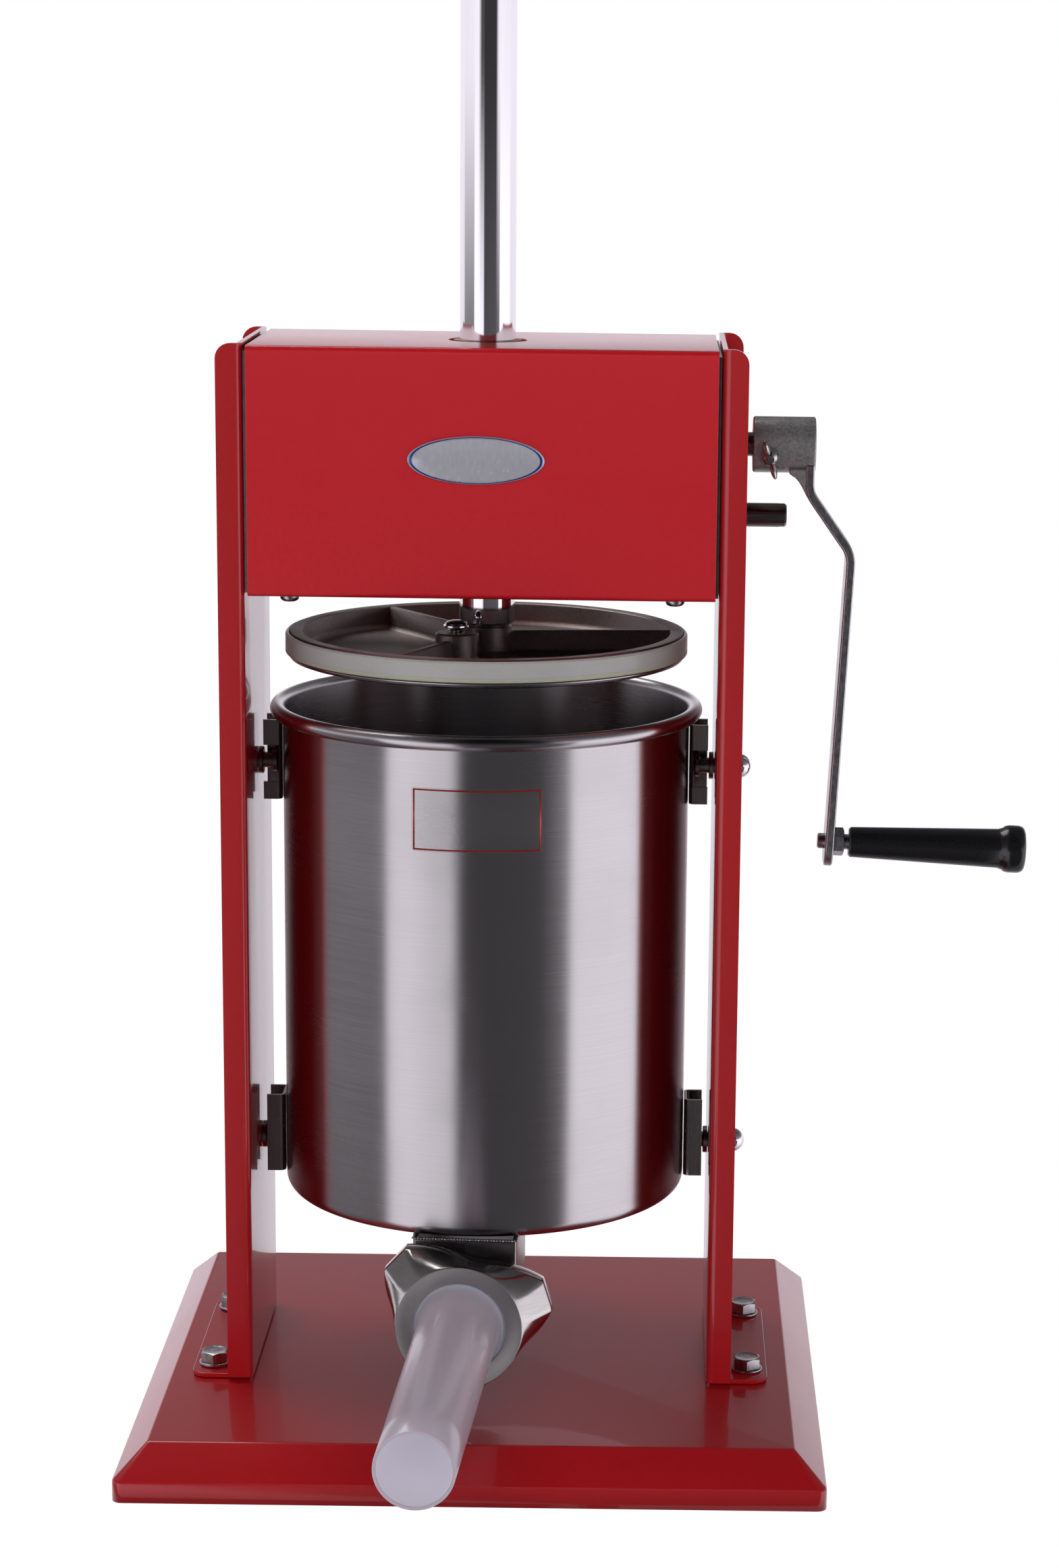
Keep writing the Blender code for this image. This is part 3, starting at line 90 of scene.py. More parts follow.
# ---------------------------------------------------------------- where pieces stand
class Axis(Enum):
    """The lines that pieces are turned or placed on, as (a point, the direction of local Z)."""

    OUTLET = ((0.0, 0.0, above(81.5)), (-0.052336, -0.99863, 0.0))
    CRANK = ((0.0, 0.022, above(502.5)), (1.0, 0.0, 0.0))
    DRIVE = ((0.0, 0.022, above(466.5)), (1.0, 0.0, 0.0))
    GRIP = ((0.177393, 0.022, above(296.5)), (0.99951, 0.0, -0.03141))

    def matrix(self) -> Matrix:
        """Placement whose local Z lies along the axis and local X stays as level as it can.

        Returns:
            The placement.
        """
        place, along = Vector(self.value[0]), Vector(self.value[1])
        if abs(along.x) > 0.9:
            side = Vector((0, 1, 0))
        else:
            side = along.cross(Vector((0, 0, 1))).normalized()
            side = side if side.x > 0 else -side
        third = along.cross(side).normalized()
        turn = Matrix((side, third, along)).transposed().to_4x4()
        return Matrix.Translation(place) @ turn


def aimed(place: Sequence[float], along: Sequence[float]) -> Matrix:
    """Placement of local Z along a direction.

    Args:
        place: where the local origin goes.
        along: where local Z points.
    Returns:
        The 4x4 placement.
    """
    return Matrix.Translation(Vector(place)) @ Vector(along).to_track_quat("Z", "Y").to_matrix().to_4x4()


# ---------------------------------------------------------------- finishes
class Grain(Enum):
    """Surface patterns, as (size of a feature across x, y and z in metres, noise detail)."""

    PEEL = ((0.0032, 0.0032, 0.0032), 1.5)
    ROUND_BRUSH = ((0.050, 0.050, 0.00045), 5.0)
    LONG_BRUSH = ((0.0005, 0.0005, 0.030), 5.0)
    SAND_CAST = ((0.0011, 0.0011, 0.0011), 6.0)
    ROUGH_CAST = ((0.0014, 0.0014, 0.0014), 6.0)
    POLISH = ((0.010, 0.010, 0.0016), 4.0)
    MILKY = ((0.004, 0.050, 0.004), 3.0)
    MOULDED = ((0.0009, 0.0009, 0.0009), 3.0)
    CRYSTAL = ((0.0016, 0.0016, 0.0040), 4.0)
    SHAFT_LINES = ((0.040, 0.0008, 0.0008), 4.0)


def new_group(name: str, inputs: dict[str, object], outputs: dict[str, str]) -> bpy.types.NodeTree:
    """Make an empty shader node group with named sockets.

    Args:
        name: the group's name.
        inputs: socket name to default value; a float, or a tuple of three for a vector.
        outputs: socket name to socket type.
    Returns:
        The group, with its input and output nodes in it.
    """
    tree = bpy.data.node_groups.new(name, "ShaderNodeTree")
    for title, default in inputs.items():
        kind = "NodeSocketVector" if isinstance(default, tuple) else "NodeSocketFloat"
        socket = tree.interface.new_socket(title, in_out="INPUT", socket_type=kind)
        socket.default_value = default
    for title, kind in outputs.items():
        tree.interface.new_socket(title, in_out="OUTPUT", socket_type=kind)
    tree.nodes.new("NodeGroupInput")
    tree.nodes.new("NodeGroupOutput")
    return tree


def maths(nodes: bpy.types.Nodes, operation: str, *values: float | None) -> bpy.types.Node:
    """Add a Math node.

    Args:
        nodes: the tree's nodes.
        operation: what it does.
        values: its plain inputs in order, with None for one that gets a link.
    Returns:
        The node.
    """
    node = nodes.new("ShaderNodeMath")
    node.operation = operation
    for socket, value in zip(node.inputs, values):
        if value is not None:
            socket.default_value = value
    return node


class PatternLibrary:
    """Shader groups shared by the finishes, each built once."""

    def __init__(self) -> None:
        """Build the groups."""
        self.grain = self._grain()
        self.handling = self._handling()

    @staticmethod
    def _grain() -> bpy.types.NodeTree:
        """Stretched noise: puts out a tone and a height from a position in metres.

        Returns:
            The node group.
        """
        tree = new_group("stretched_grain", {"Position": (0.0, 0.0, 0.0), "Per Metre": (300.0, 300.0, 300.0),
                                             "Detail": 3.0, "Contrast": 1.0},
                         {"Tone": "NodeSocketFloat", "Height": "NodeSocketFloat"})
        nodes, links = tree.nodes, tree.links
        source, sink = nodes["Group Input"], nodes["Group Output"]
        scaled = nodes.new("ShaderNodeVectorMath")
        scaled.operation = "MULTIPLY"
        noise = nodes.new("ShaderNodeTexNoise")
        noise.inputs["Scale"].default_value = 1.0
        noise.inputs["Roughness"].default_value = 0.55
        centre = maths(nodes, "SUBTRACT", None, 0.5)
        spread = maths(nodes, "MULTIPLY_ADD", None, None, 0.5)
        spread.use_clamp = True
        links.new(source.outputs["Position"], scaled.inputs[0])
        links.new(source.outputs["Per Metre"], scaled.inputs[1])
        links.new(scaled.outputs[0], noise.inputs["Vector"])
        links.new(source.outputs["Detail"], noise.inputs["Detail"])
        links.new(noise.outputs["Fac"], centre.inputs[0])
        links.new(centre.outputs[0], spread.inputs[0])
        links.new(source.outputs["Contrast"], spread.inputs[1])
        links.new(spread.outputs[0], sink.inputs["Tone"])
        links.new(noise.outputs["Fac"], sink.inputs["Height"])
        return tree

    @staticmethod
    def _handling() -> bpy.types.NodeTree:
        """Broad soft marks of handling, 0 where clean and 1 where dull.

        Returns:
            The node group.
        """
        tree = new_group("handling_marks", {"Position": (0.0, 0.0, 0.0), "Size": 0.06, "Amount": 0.5},
                         {"Mark": "NodeSocketFloat"})
        nodes, links = tree.nodes, tree.links
        source, sink = nodes["Group Input"], nodes["Group Output"]
        inverse = maths(nodes, "DIVIDE", 1.0)
        noise = nodes.new("ShaderNodeTexNoise")
        noise.inputs["Detail"].default_value = 4.0
        band = nodes.new("ShaderNodeMapRange")
        band.interpolation_type = "SMOOTHSTEP"
        band.inputs["From Min"].default_value = 0.42
        band.inputs["From Max"].default_value = 0.68
        links.new(source.outputs["Position"], noise.inputs["Vector"])
        links.new(source.outputs["Size"], inverse.inputs[1])
        links.new(inverse.outputs[0], noise.inputs["Scale"])
        links.new(noise.outputs["Fac"], band.inputs["Value"])
        links.new(source.outputs["Amount"], band.inputs["To Max"])
        links.new(band.outputs["Result"], sink.inputs["Mark"])
        return tree


@dataclass(frozen=True)
class Finish:
    """A surface finish: its colours, its gloss and the pattern worked into it."""

    name: str
    slot: str
    light: tuple[float, float, float]
    dark: tuple[float, float, float]
    roughness: float
    grain: Grain
    metallic: float = 0.0
    contrast: float = 1.5
    rough_spread: float = 0.06
    bump: float = 0.2
    depth: float = 0.0001
    coat: float = 0.0
    coat_roughness: float = 0.05
    anisotropic: float = 0.0
    marks: float = 0.1
    mark_size: float = 0.06
    subsurface: float = 0.0
    sheen_depth: float = 0.01
    ior: float = 1.5
    # glow: emission strength in the light colour; painted light, since the piece glows though it is no lamp
    glow: float = 0.0
    turned_about: str = ""

    def build(self, patterns: PatternLibrary) -> bpy.types.Material:
        """Make the material.

        Args:
            patterns: the shared shader groups.
        Returns:
            A Principled material with colour, roughness and bump from its pattern.
        """
        mat = bpy.data.materials.new(self.name)
        mat.use_nodes = True
        nodes, links = mat.node_tree.nodes, mat.node_tree.links
        shader = nodes["Principled BSDF"]
        for socket, value in (("Metallic", self.metallic), ("Coat Weight", self.coat),
                              ("Coat Roughness", self.coat_roughness), ("Anisotropic", self.anisotropic),
                              ("Subsurface Weight", self.subsurface), ("Subsurface Scale", self.sheen_depth),
                              ("IOR", self.ior), ("Emission Strength", self.glow)):
            shader.inputs[socket].default_value = value
        # The emission paints light onto the piece: it glows by itself at the strength of glow.
        shader.inputs["Emission Color"].default_value = (*self.light, 1.0)
        place = nodes.new("ShaderNodeTexCoord")
        worked = nodes.new("ShaderNodeGroup")
        worked.node_tree = patterns.grain
        size, detail = self.grain.value
        worked.inputs["Per Metre"].default_value = tuple(1 / s for s in size)
        worked.inputs["Detail"].default_value = detail
        worked.inputs["Contrast"].default_value = self.contrast
        links.new(place.outputs["Object"], worked.inputs["Position"])
        dull = nodes.new("ShaderNodeGroup")
        dull.node_tree = patterns.handling
        dull.inputs["Size"].default_value = self.mark_size
        dull.inputs["Amount"].default_value = self.marks
        links.new(place.outputs["Object"], dull.inputs["Position"])

        colour = nodes.new("ShaderNodeMix")
        colour.data_type = "RGBA"
        colour.inputs["A"].default_value = (*self.dark, 1.0)
        colour.inputs["B"].default_value = (*self.light, 1.0)
        links.new(worked.outputs["Tone"], colour.inputs["Factor"])
        links.new(self.overlay(nodes, links, place, colour.outputs["Result"]), shader.inputs["Base Color"])

        gloss = nodes.new("ShaderNodeMapRange")
        gloss.inputs["To Min"].default_value = self.roughness - self.rough_spread
        gloss.inputs["To Max"].default_value = self.roughness + self.rough_spread
        summed = maths(nodes, "ADD")
        links.new(worked.outputs["Tone"], gloss.inputs["Value"])
        links.new(gloss.outputs["Result"], summed.inputs[0])
        links.new(dull.outputs["Mark"], summed.inputs[1])
        links.new(summed.outputs[0], shader.inputs["Roughness"])

        relief = nodes.new("ShaderNodeBump")
        relief.inputs["Strength"].default_value = self.bump
        relief.inputs["Distance"].default_value = self.depth
        links.new(worked.outputs["Height"], relief.inputs["Height"])
        links.new(relief.outputs["Normal"], shader.inputs["Normal"])
        if self.coat:
            links.new(relief.outputs["Normal"], shader.inputs["Coat Normal"])
        if self.turned_about:
            tangent = nodes.new("ShaderNodeTangent")
            tangent.direction_type = "RADIAL"
            tangent.axis = self.turned_about
            shader.inputs["Anisotropic Rotation"].default_value = 0.25
            links.new(tangent.outputs[0], shader.inputs["Tangent"])
        return mat

    def overlay(self, nodes: bpy.types.Nodes, links: bpy.types.NodeLinks, place: bpy.types.Node,
                colour: bpy.types.NodeSocket) -> bpy.types.NodeSocket:
        """Colour that goes on the surface; a finish with a drawn pattern overrides this.

        Args:
            nodes: the material's nodes.
            links: the material's links.
            place: the Texture Coordinate node.
            colour: the worked colour.
        Returns:
            The socket to use as Base Color.
        """
        return colour


@dataclass(frozen=True)
class OvalFinish(Finish):
    """The badge's finish: bright metal with a dark blue line inside its rim."""

    centre: tuple[float, float] = (-2.8 * MM, above(501))
    half_width: float = 33.5 * MM
    half_height: float = 11.75 * MM
    line: tuple[float, float, float] = (0.02, 0.06, 0.32)

    def overlay(self, nodes: bpy.types.Nodes, links: bpy.types.NodeLinks, place: bpy.types.Node,
                colour: bpy.types.NodeSocket) -> bpy.types.NodeSocket:
        """Lay the oval line over the metal.

        Args:
            nodes: the material's nodes.
            links: the material's links.
            place: the Texture Coordinate node.
            colour: the worked colour.
        Returns:
            The socket to use as Base Color.
        """
        fit = nodes.new("ShaderNodeMapping")
        fit.vector_type = "POINT"
        fit.inputs["Location"].default_value = (-self.centre[0] / self.half_width, 0.0,
                                                -self.centre[1] / self.half_height)
        fit.inputs["Scale"].default_value = (1 / self.half_width, 0.0, 1 / self.half_height)
        length = nodes.new("ShaderNodeVectorMath")
        length.operation = "LENGTH"
        ramp = nodes.new("ShaderNodeValToRGB")
        stops = ((0.0, 0.0), (0.925, 0.0), (0.935, 1.0), (0.965, 1.0), (0.975, 0.0))
        for (at, value), stop in zip(stops, list(ramp.color_ramp.elements) + [None] * 3):
            stop = stop or ramp.color_ramp.elements.new(at)
            stop.position, stop.color = at, (value, value, value, 1)
        mixed = nodes.new("ShaderNodeMix")
        mixed.data_type = "RGBA"
        mixed.inputs["B"].default_value = (*self.line, 1.0)
        links.new(place.outputs["Object"], fit.inputs["Vector"])
        links.new(fit.outputs["Vector"], length.inputs[0])
        links.new(length.outputs["Value"], ramp.inputs["Fac"])
        links.new(ramp.outputs["Color"], mixed.inputs["Factor"])
        links.new(colour, mixed.inputs["A"])
        return mixed.outputs["Result"]


@dataclass(frozen=True)
class LabelFinish(Finish):
    """A plain sticker: nearly clear film with a thin red line near its edge and no lettering."""

    low: tuple[float, float] = (-32 * MM, above(314.5))
    high: tuple[float, float] = (32 * MM, above(346.5))
    margin: float = 1.2 * MM
    stroke: float = 0.7 * MM
    ink: tuple[float, float, float] = (0.62, 0.045, 0.03)
    film: float = 0.05

    def overlay(self, nodes: bpy.types.Nodes, links: bpy.types.NodeLinks, place: bpy.types.Node,
                colour: bpy.types.NodeSocket) -> bpy.types.NodeSocket:
        """Lay the border line over the film.

        Args:
            nodes: the material's nodes.
            links: the material's links.
            place: the Texture Coordinate node.
            colour: the worked colour.
        Returns:
            The socket to use as Base Color.
        """
        split = nodes.new("ShaderNodeSeparateXYZ")
        links.new(place.outputs["Object"], split.inputs[0])
        nearest = None
        for axis, low, high in (("X", self.low[0], self.high[0]), ("Z", self.low[1], self.high[1])):
            off = maths(nodes, "SUBTRACT", None, (low + high) / 2)
            size = maths(nodes, "ABSOLUTE")
            inside = maths(nodes, "SUBTRACT", (high - low) / 2)
            links.new(split.outputs[axis], off.inputs[0])
            links.new(off.outputs[0], size.inputs[0])
            links.new(size.outputs[0], inside.inputs[1])
            if nearest is None:
                nearest = inside
            else:
                least = maths(nodes, "MINIMUM")
                links.new(nearest.outputs[0], least.inputs[0])
                links.new(inside.outputs[0], least.inputs[1])
                nearest = least
        line = maths(nodes, "COMPARE", None, self.margin, self.stroke / 2)
        links.new(nearest.outputs[0], line.inputs[0])
        mixed = nodes.new("ShaderNodeMix")
        mixed.data_type = "RGBA"
        mixed.inputs["B"].default_value = (*self.ink, 1.0)
        links.new(line.outputs[0], mixed.inputs["Factor"])
        links.new(colour, mixed.inputs["A"])
        clear = nodes.new("ShaderNodeMapRange")
        clear.inputs["To Min"].default_value = self.film
        links.new(line.outputs[0], clear.inputs["Value"])
        links.new(clear.outputs["Result"], nodes["Principled BSDF"].inputs["Alpha"])
        return mixed.outputs["Result"]


RED = Finish("red_gloss_paint", "red_paint", (0.62, 0.011, 0.021), (0.58, 0.010, 0.018), 0.30, Grain.PEEL,
             contrast=1.2, rough_spread=0.02, bump=0.42, depth=0.00026, coat=0.6, coat_roughness=0.05,
             marks=0.03, mark_size=0.09)
# A darker copy of the cover's red paint: painted shade on the tray and the uprights, which stand in less light than the
# cover.
SHADED_RED = Finish("shaded_red_gloss_paint", "red_paint", (0.47, 0.010, 0.015), (0.44, 0.009, 0.013), 0.30, Grain.PEEL,
                  contrast=1.2, rough_spread=0.02, bump=0.10, depth=0.00016, coat=0.7, coat_roughness=0.03,
                  marks=0.03, mark_size=0.09)
BRUSHED = Finish("brushed_stainless", "stainless", (0.60, 0.585, 0.59), (0.50, 0.485, 0.49), 0.24,
                 Grain.ROUND_BRUSH, metallic=1.0, contrast=1.3, rough_spread=0.03, bump=0.025, depth=0.00002,
                 anisotropic=0.85, marks=0.03, mark_size=0.05, turned_about="Z")
SHEET = Finish("sheet_stainless", "stainless", (0.40, 0.37, 0.36), (0.30, 0.275, 0.265), 0.24, Grain.LONG_BRUSH,
               metallic=1.0, contrast=1.8, rough_spread=0.05, bump=0.08, depth=0.00004, marks=0.08)
POLISHED = Finish("polished_casting", "stainless", (0.60, 0.585, 0.57), (0.50, 0.485, 0.47), 0.15, Grain.POLISH,
                  metallic=1.0, contrast=1.5, rough_spread=0.04, bump=0.14, depth=0.00018, marks=0.06,
                  mark_size=0.02)
FACED = Finish("turned_face", "stainless", (0.44, 0.435, 0.425), (0.38, 0.375, 0.365), 0.46, Grain.SAND_CAST,
               metallic=0.85, contrast=1.2, rough_spread=0.04, bump=0.05, depth=0.00004, marks=0.04)
CHROME = Finish("chrome_plate", "chrome", (0.86, 0.86, 0.88), (0.80, 0.80, 0.82), 0.05, Grain.LONG_BRUSH,
                metallic=1.0, rough_spread=0.02, bump=0.02, depth=0.00002, marks=0.03, mark_size=0.03)
ZINC = Finish("zinc_plate", "zinc", (0.62, 0.62, 0.62), (0.42, 0.42, 0.43), 0.28, Grain.CRYSTAL,
              metallic=1.0, contrast=2.2, rough_spread=0.09, bump=0.18, depth=0.00008, marks=0.10, mark_size=0.01)
HUB_CAST = Finish("rough_cast_zinc", "cast_zinc", (0.60, 0.60, 0.60), (0.32, 0.32, 0.32), 0.34,
                  Grain.ROUGH_CAST, metallic=0.75, contrast=2.0, rough_spread=0.08, bump=0.40, depth=0.00022,
                  marks=0.10, mark_size=0.012)
CAST_SMOOTH = Finish("smooth_cast_zinc", "zinc", (0.72, 0.71, 0.68), (0.50, 0.49, 0.47), 0.18,
                     Grain.POLISH, metallic=1.0, contrast=1.6, bump=0.10, depth=0.00008, marks=0.06)
ALUMINIUM = Finish("sand_cast_aluminium", "cast_aluminium", (0.40, 0.355, 0.335), (0.25, 0.215, 0.20), 0.46,
                   Grain.SAND_CAST, metallic=1.0, contrast=2.0, rough_spread=0.08, bump=0.45, depth=0.00018,
                   marks=0.08, mark_size=0.03)
MACHINED = Finish("machined_aluminium", "cast_aluminium", (0.56, 0.54, 0.525), (0.42, 0.40, 0.39), 0.24,
                  Grain.ROUND_BRUSH, metallic=1.0, contrast=1.8, bump=0.08, depth=0.00004, marks=0.06)
BAND = Finish("silicone_band", "silicone", (0.46, 0.455, 0.45), (0.41, 0.405, 0.39), 0.34, Grain.MOULDED,
              rough_spread=0.04, bump=0.05, depth=0.00005, coat=0.35, coat_roughness=0.15, subsurface=0.25,
              sheen_depth=0.003, ior=1.42)
BAND_EDGE = Finish("silicone_band_edge", "silicone", (0.50, 0.46, 0.36), (0.44, 0.40, 0.31), 0.34, Grain.MOULDED,
                   rough_spread=0.04, bump=0.05, depth=0.00005, coat=0.3, coat_roughness=0.2, subsurface=0.3,
                   sheen_depth=0.003, ior=1.42)
# The tube's plastic glows faintly: painted light that brightens the whole tube.
MILK = Finish("milky_tube_plastic", "tube_plastic", (0.44, 0.43, 0.50), (0.42, 0.41, 0.48), 0.24, Grain.MILKY,
              rough_spread=0.05, bump=0.04, depth=0.00006, coat=0.35, coat_roughness=0.10, subsurface=0.5,
              sheen_depth=0.010, glow=0.12, marks=0.0)
# The bore's plastic glows strongly: painted light inside the tube's bore, where shade falls.
BORE_GLOW_MILK = Finish("milky_tube_bore_painted_light", "tube_plastic", (0.38, 0.355, 0.405), (0.36, 0.335, 0.385), 0.40, Grain.MILKY,
                   rough_spread=0.04, bump=0.03, depth=0.00006, subsurface=0.3, sheen_depth=0.010, glow=0.62)
BLACK = Finish("black_grip_plastic", "black_plastic", (0.010, 0.010, 0.012), (0.007, 0.007, 0.009), 0.26,
               Grain.MOULDED, rough_spread=0.04, bump=0.06, depth=0.00004, coat=0.4, coat_roughness=0.10)
OILED = Finish("oiled_steel", "dark_steel", (0.34, 0.335, 0.33), (0.20, 0.195, 0.19), 0.34, Grain.CRYSTAL,
               metallic=1.0, contrast=2.0, bump=0.15, depth=0.00008)
SHAFT = Finish("ground_shaft_steel", "dark_steel", (0.40, 0.385, 0.385), (0.16, 0.15, 0.15), 0.26,
               Grain.SHAFT_LINES, metallic=1.0, contrast=2.6, bump=0.20, depth=0.00008)
BRONZE = Finish("bush_bronze", "bronze", (0.52, 0.36, 0.18), (0.38, 0.25, 0.12), 0.32, Grain.CRYSTAL,
                metallic=1.0, bump=0.10)
BADGE = OvalFinish("badge_metal", "badge_metal", (0.62, 0.62, 0.68), (0.50, 0.50, 0.56), 0.20,
                   Grain.CRYSTAL, metallic=0.35, contrast=1.4, bump=0.08, depth=0.00004, coat=0.5)
LABEL = LabelFinish("plain_label_film", "stainless", (0.50, 0.49, 0.49), (0.44, 0.43, 0.43), 0.30,
                    Grain.MOULDED, metallic=0.6, rough_spread=0.05, bump=0.03, coat=0.3, coat_roughness=0.15)


# ---------------------------------------------------------------- modelling tools
def filleted(points: Sequence[Point], radius: float, steps: int = 6) -> list[Vector]:
    """Round each inner corner of an open run of points.

    Args:
        points: the run's corner points.
        radius: the fillet's radius.
        steps: how many segments each fillet gets.
    Returns:
        The rounded run as 2-D vectors.
    """
    run = [Vector(points[0])]
    for before, corner, after in zip(points, points[1:], points[2:]):
        before, corner, after = Vector(before), Vector(corner), Vector(after)
        u, v = (before - corner).normalized(), (after - corner).normalized()
        half = u.angle(v) / 2
        middle = corner + (u + v).normalized() * radius / math.sin(half)
        start, end = corner + u * radius / math.tan(half), corner + v * radius / math.tan(half)
        for k in range(steps + 1):
            blend = (start - middle).lerp(end - middle, k / steps)
            run.append(middle + blend.normalized() * radius)
    run.append(Vector(points[-1]))
    return run


def wire(points: Iterable[Sequence[float]], closed: bool = False) -> tuple[bmesh.types.BMesh, list]:
    """Start a bmesh from a run of points joined by edges.

    Args:
        points: 3-D points.
        closed: join the last point to the first.
    Returns:
        The bmesh and its edges.
    """
    bm = bmesh.new()
    verts = [bm.verts.new(p) for p in points]
    edges = [bm.edges.new(pair) for pair in zip(verts, verts[1:])]
    if closed:
        edges.append(bm.edges.new((verts[-1], verts[0])))
    return bm, edges


def lathe(profile: Sequence[Point], steps: int = ROUND, closed: bool = False) -> bmesh.types.BMesh:
    """Spin a (radius, height) profile about Z.

    Args:
        profile: points from one end to the other; a point at radius 0 makes a pole.
        steps: segments around.
        closed: the profile is a loop, which makes a ring with walls all round.
    Returns:
        The turned shape.
    """
    bm, edges = wire(((r, 0.0, z) for r, z in profile), closed)
    bmesh.ops.spin(bm, geom=bm.verts[:] + edges, cent=(0, 0, 0), axis=(0, 0, 1), dvec=(0, 0, 0),
                   angle=2 * math.pi, steps=steps, use_merge=True, use_duplicate=False)
    bmesh.ops.remove_doubles(bm, verts=bm.verts[:], dist=1e-6)
    caps = [e for e in bm.edges if e.is_boundary]
    if caps:
        bmesh.ops.holes_fill(bm, edges=caps, sides=0)
    bmesh.ops.recalc_face_normals(bm, faces=bm.faces[:])
    return bm


def rounded(profile: Sequence[Point], radius: float, steps: int = 3) -> list[Point]:
    """A profile with its inner corners rounded, for lathe()."""
    return [(p.x, p.y) for p in filleted(profile, radius, steps)]


def loft(sections: Sequence[Sequence[Sequence[float]]], closed: bool = False) -> bmesh.types.BMesh:
    """Skin a shape through sections that have the same number of points.

    Args:
        sections: closed outlines as 3-D points.
        closed: join the last section to the first; otherwise both ends are capped.
    Returns:
        The skinned shape.
    """
    bm, edges = wire(sections[0], closed=True)
    bm.verts.ensure_lookup_table()
    first, ring = edges, edges
    order = list(bm.verts)
    for section in sections[1:]:
        made = bmesh.ops.extrude_edge_only(bm, edges=ring)["geom"]
        ring = [g for g in made if isinstance(g, bmesh.types.BMEdge)]
        fresh = []
        for vert in order:
            fresh.append(next(e.other_vert(vert) for e in vert.link_edges
                              if e not in first and e.other_vert(vert) in made))
        order = fresh
        made_ring = set(fresh)
        ring = [e for e in ring if e.verts[0] in made_ring and e.verts[1] in made_ring]
        first = ring
        for vert, place in zip(order, section):
            vert.co = Vector(place)
    if closed:
        bmesh.ops.remove_doubles(bm, verts=bm.verts[:], dist=1e-6)
    else:
        bmesh.ops.holes_fill(bm, edges=[e for e in bm.edges if e.is_boundary], sides=0)
    bmesh.ops.recalc_face_normals(bm, faces=bm.faces[:])
    return bm


def strip(run: Sequence[Vector], start: Vector, sweep: Vector,
          lay: Callable[[Vector], Vector]) -> bmesh.types.BMesh:
    """Sweep an open run of 2-D points straight, as a sheet with no thickness yet.

    Args:
        run: the 2-D run.
        start: offset of the first edge.
        sweep: the whole sweep.
        lay: turns a 2-D point into a 3-D one.
    Returns:
        The sheet.
    """
    bm, edges = wire(lay(p) + start for p in run)
    made = bmesh.ops.extrude_edge_only(bm, edges=edges)["geom"]
    far = [g for g in made if isinstance(g, bmesh.types.BMVert)]
    bmesh.ops.translate(bm, verts=far, vec=sweep)
    bmesh.ops.recalc_face_normals(bm, faces=bm.faces[:])
    return bm


def box(low: Sequence[float], high: Sequence[float], bevel: float = 0.0) -> bmesh.types.BMesh:
    """A block between two corners, with its edges bevelled.

    Args:
        low: lowest corner.
        high: highest corner.
        bevel: width of the bevel, or 0 for none.
    Returns:
        The block.
    """
    low, high = Vector(low), Vector(high)
    bm = bmesh.new()
    bmesh.ops.create_cube(bm, size=1.0)
    bmesh.ops.scale(bm, vec=high - low, verts=bm.verts[:])
    bmesh.ops.translate(bm, vec=(low + high) / 2, verts=bm.verts[:])
    if bevel:
        bmesh.ops.bevel(bm, geom=bm.edges[:], offset=bevel, offset_type="OFFSET", segments=BEVEL_STEPS,
                        profile=0.5, affect="EDGES", clamp_overlap=True, material=-1)
    return bm


def joined(shapes: Iterable[bmesh.types.BMesh]) -> bmesh.types.BMesh:
    """Gather several shapes into one bmesh.

    Args:
        shapes: the shapes, which are used up.
    Returns:
        The bmesh that holds them all.
    """
    whole = bmesh.new()
    for shape in shapes:
        mesh = bpy.data.meshes.new("part")
        shape.to_mesh(mesh)
        shape.free()
        whole.from_mesh(mesh)
        bpy.data.meshes.remove(mesh)
    return whole


def moved(bm: bmesh.types.BMesh, matrix: Matrix) -> bmesh.types.BMesh:
    """Move a shape and return it."""
    bmesh.ops.transform(bm, matrix=matrix, verts=bm.verts[:])
    return bm


def hex_outline(across: float, height: Callable[[float], float], count: int = 48) -> list[Vector]:
    """Points round a hexagon, each at a height that depends on its distance from the middle.

    Args:
        across: size across the flats.
        height: gives a point's height from its distance.
        count: how many points.
    Returns:
        The points.
    """
    points = []
    for k in range(count):
        angle = 2 * math.pi * k / count
        off = (angle + math.pi / 6) % (math.pi / 3) - math.pi / 6
        reach = across / 2 / math.cos(off)
        points.append(Vector((reach * math.cos(angle), reach * math.sin(angle), height(reach))))
    return points


def round_outline(radius: float, height: float, count: int = 48) -> list[Vector]:
    """Points round a circle at one height."""
    steps = (2 * math.pi * k / count for k in range(count))
    return [Vector((radius * math.cos(a), radius * math.sin(a), height)) for a in steps]


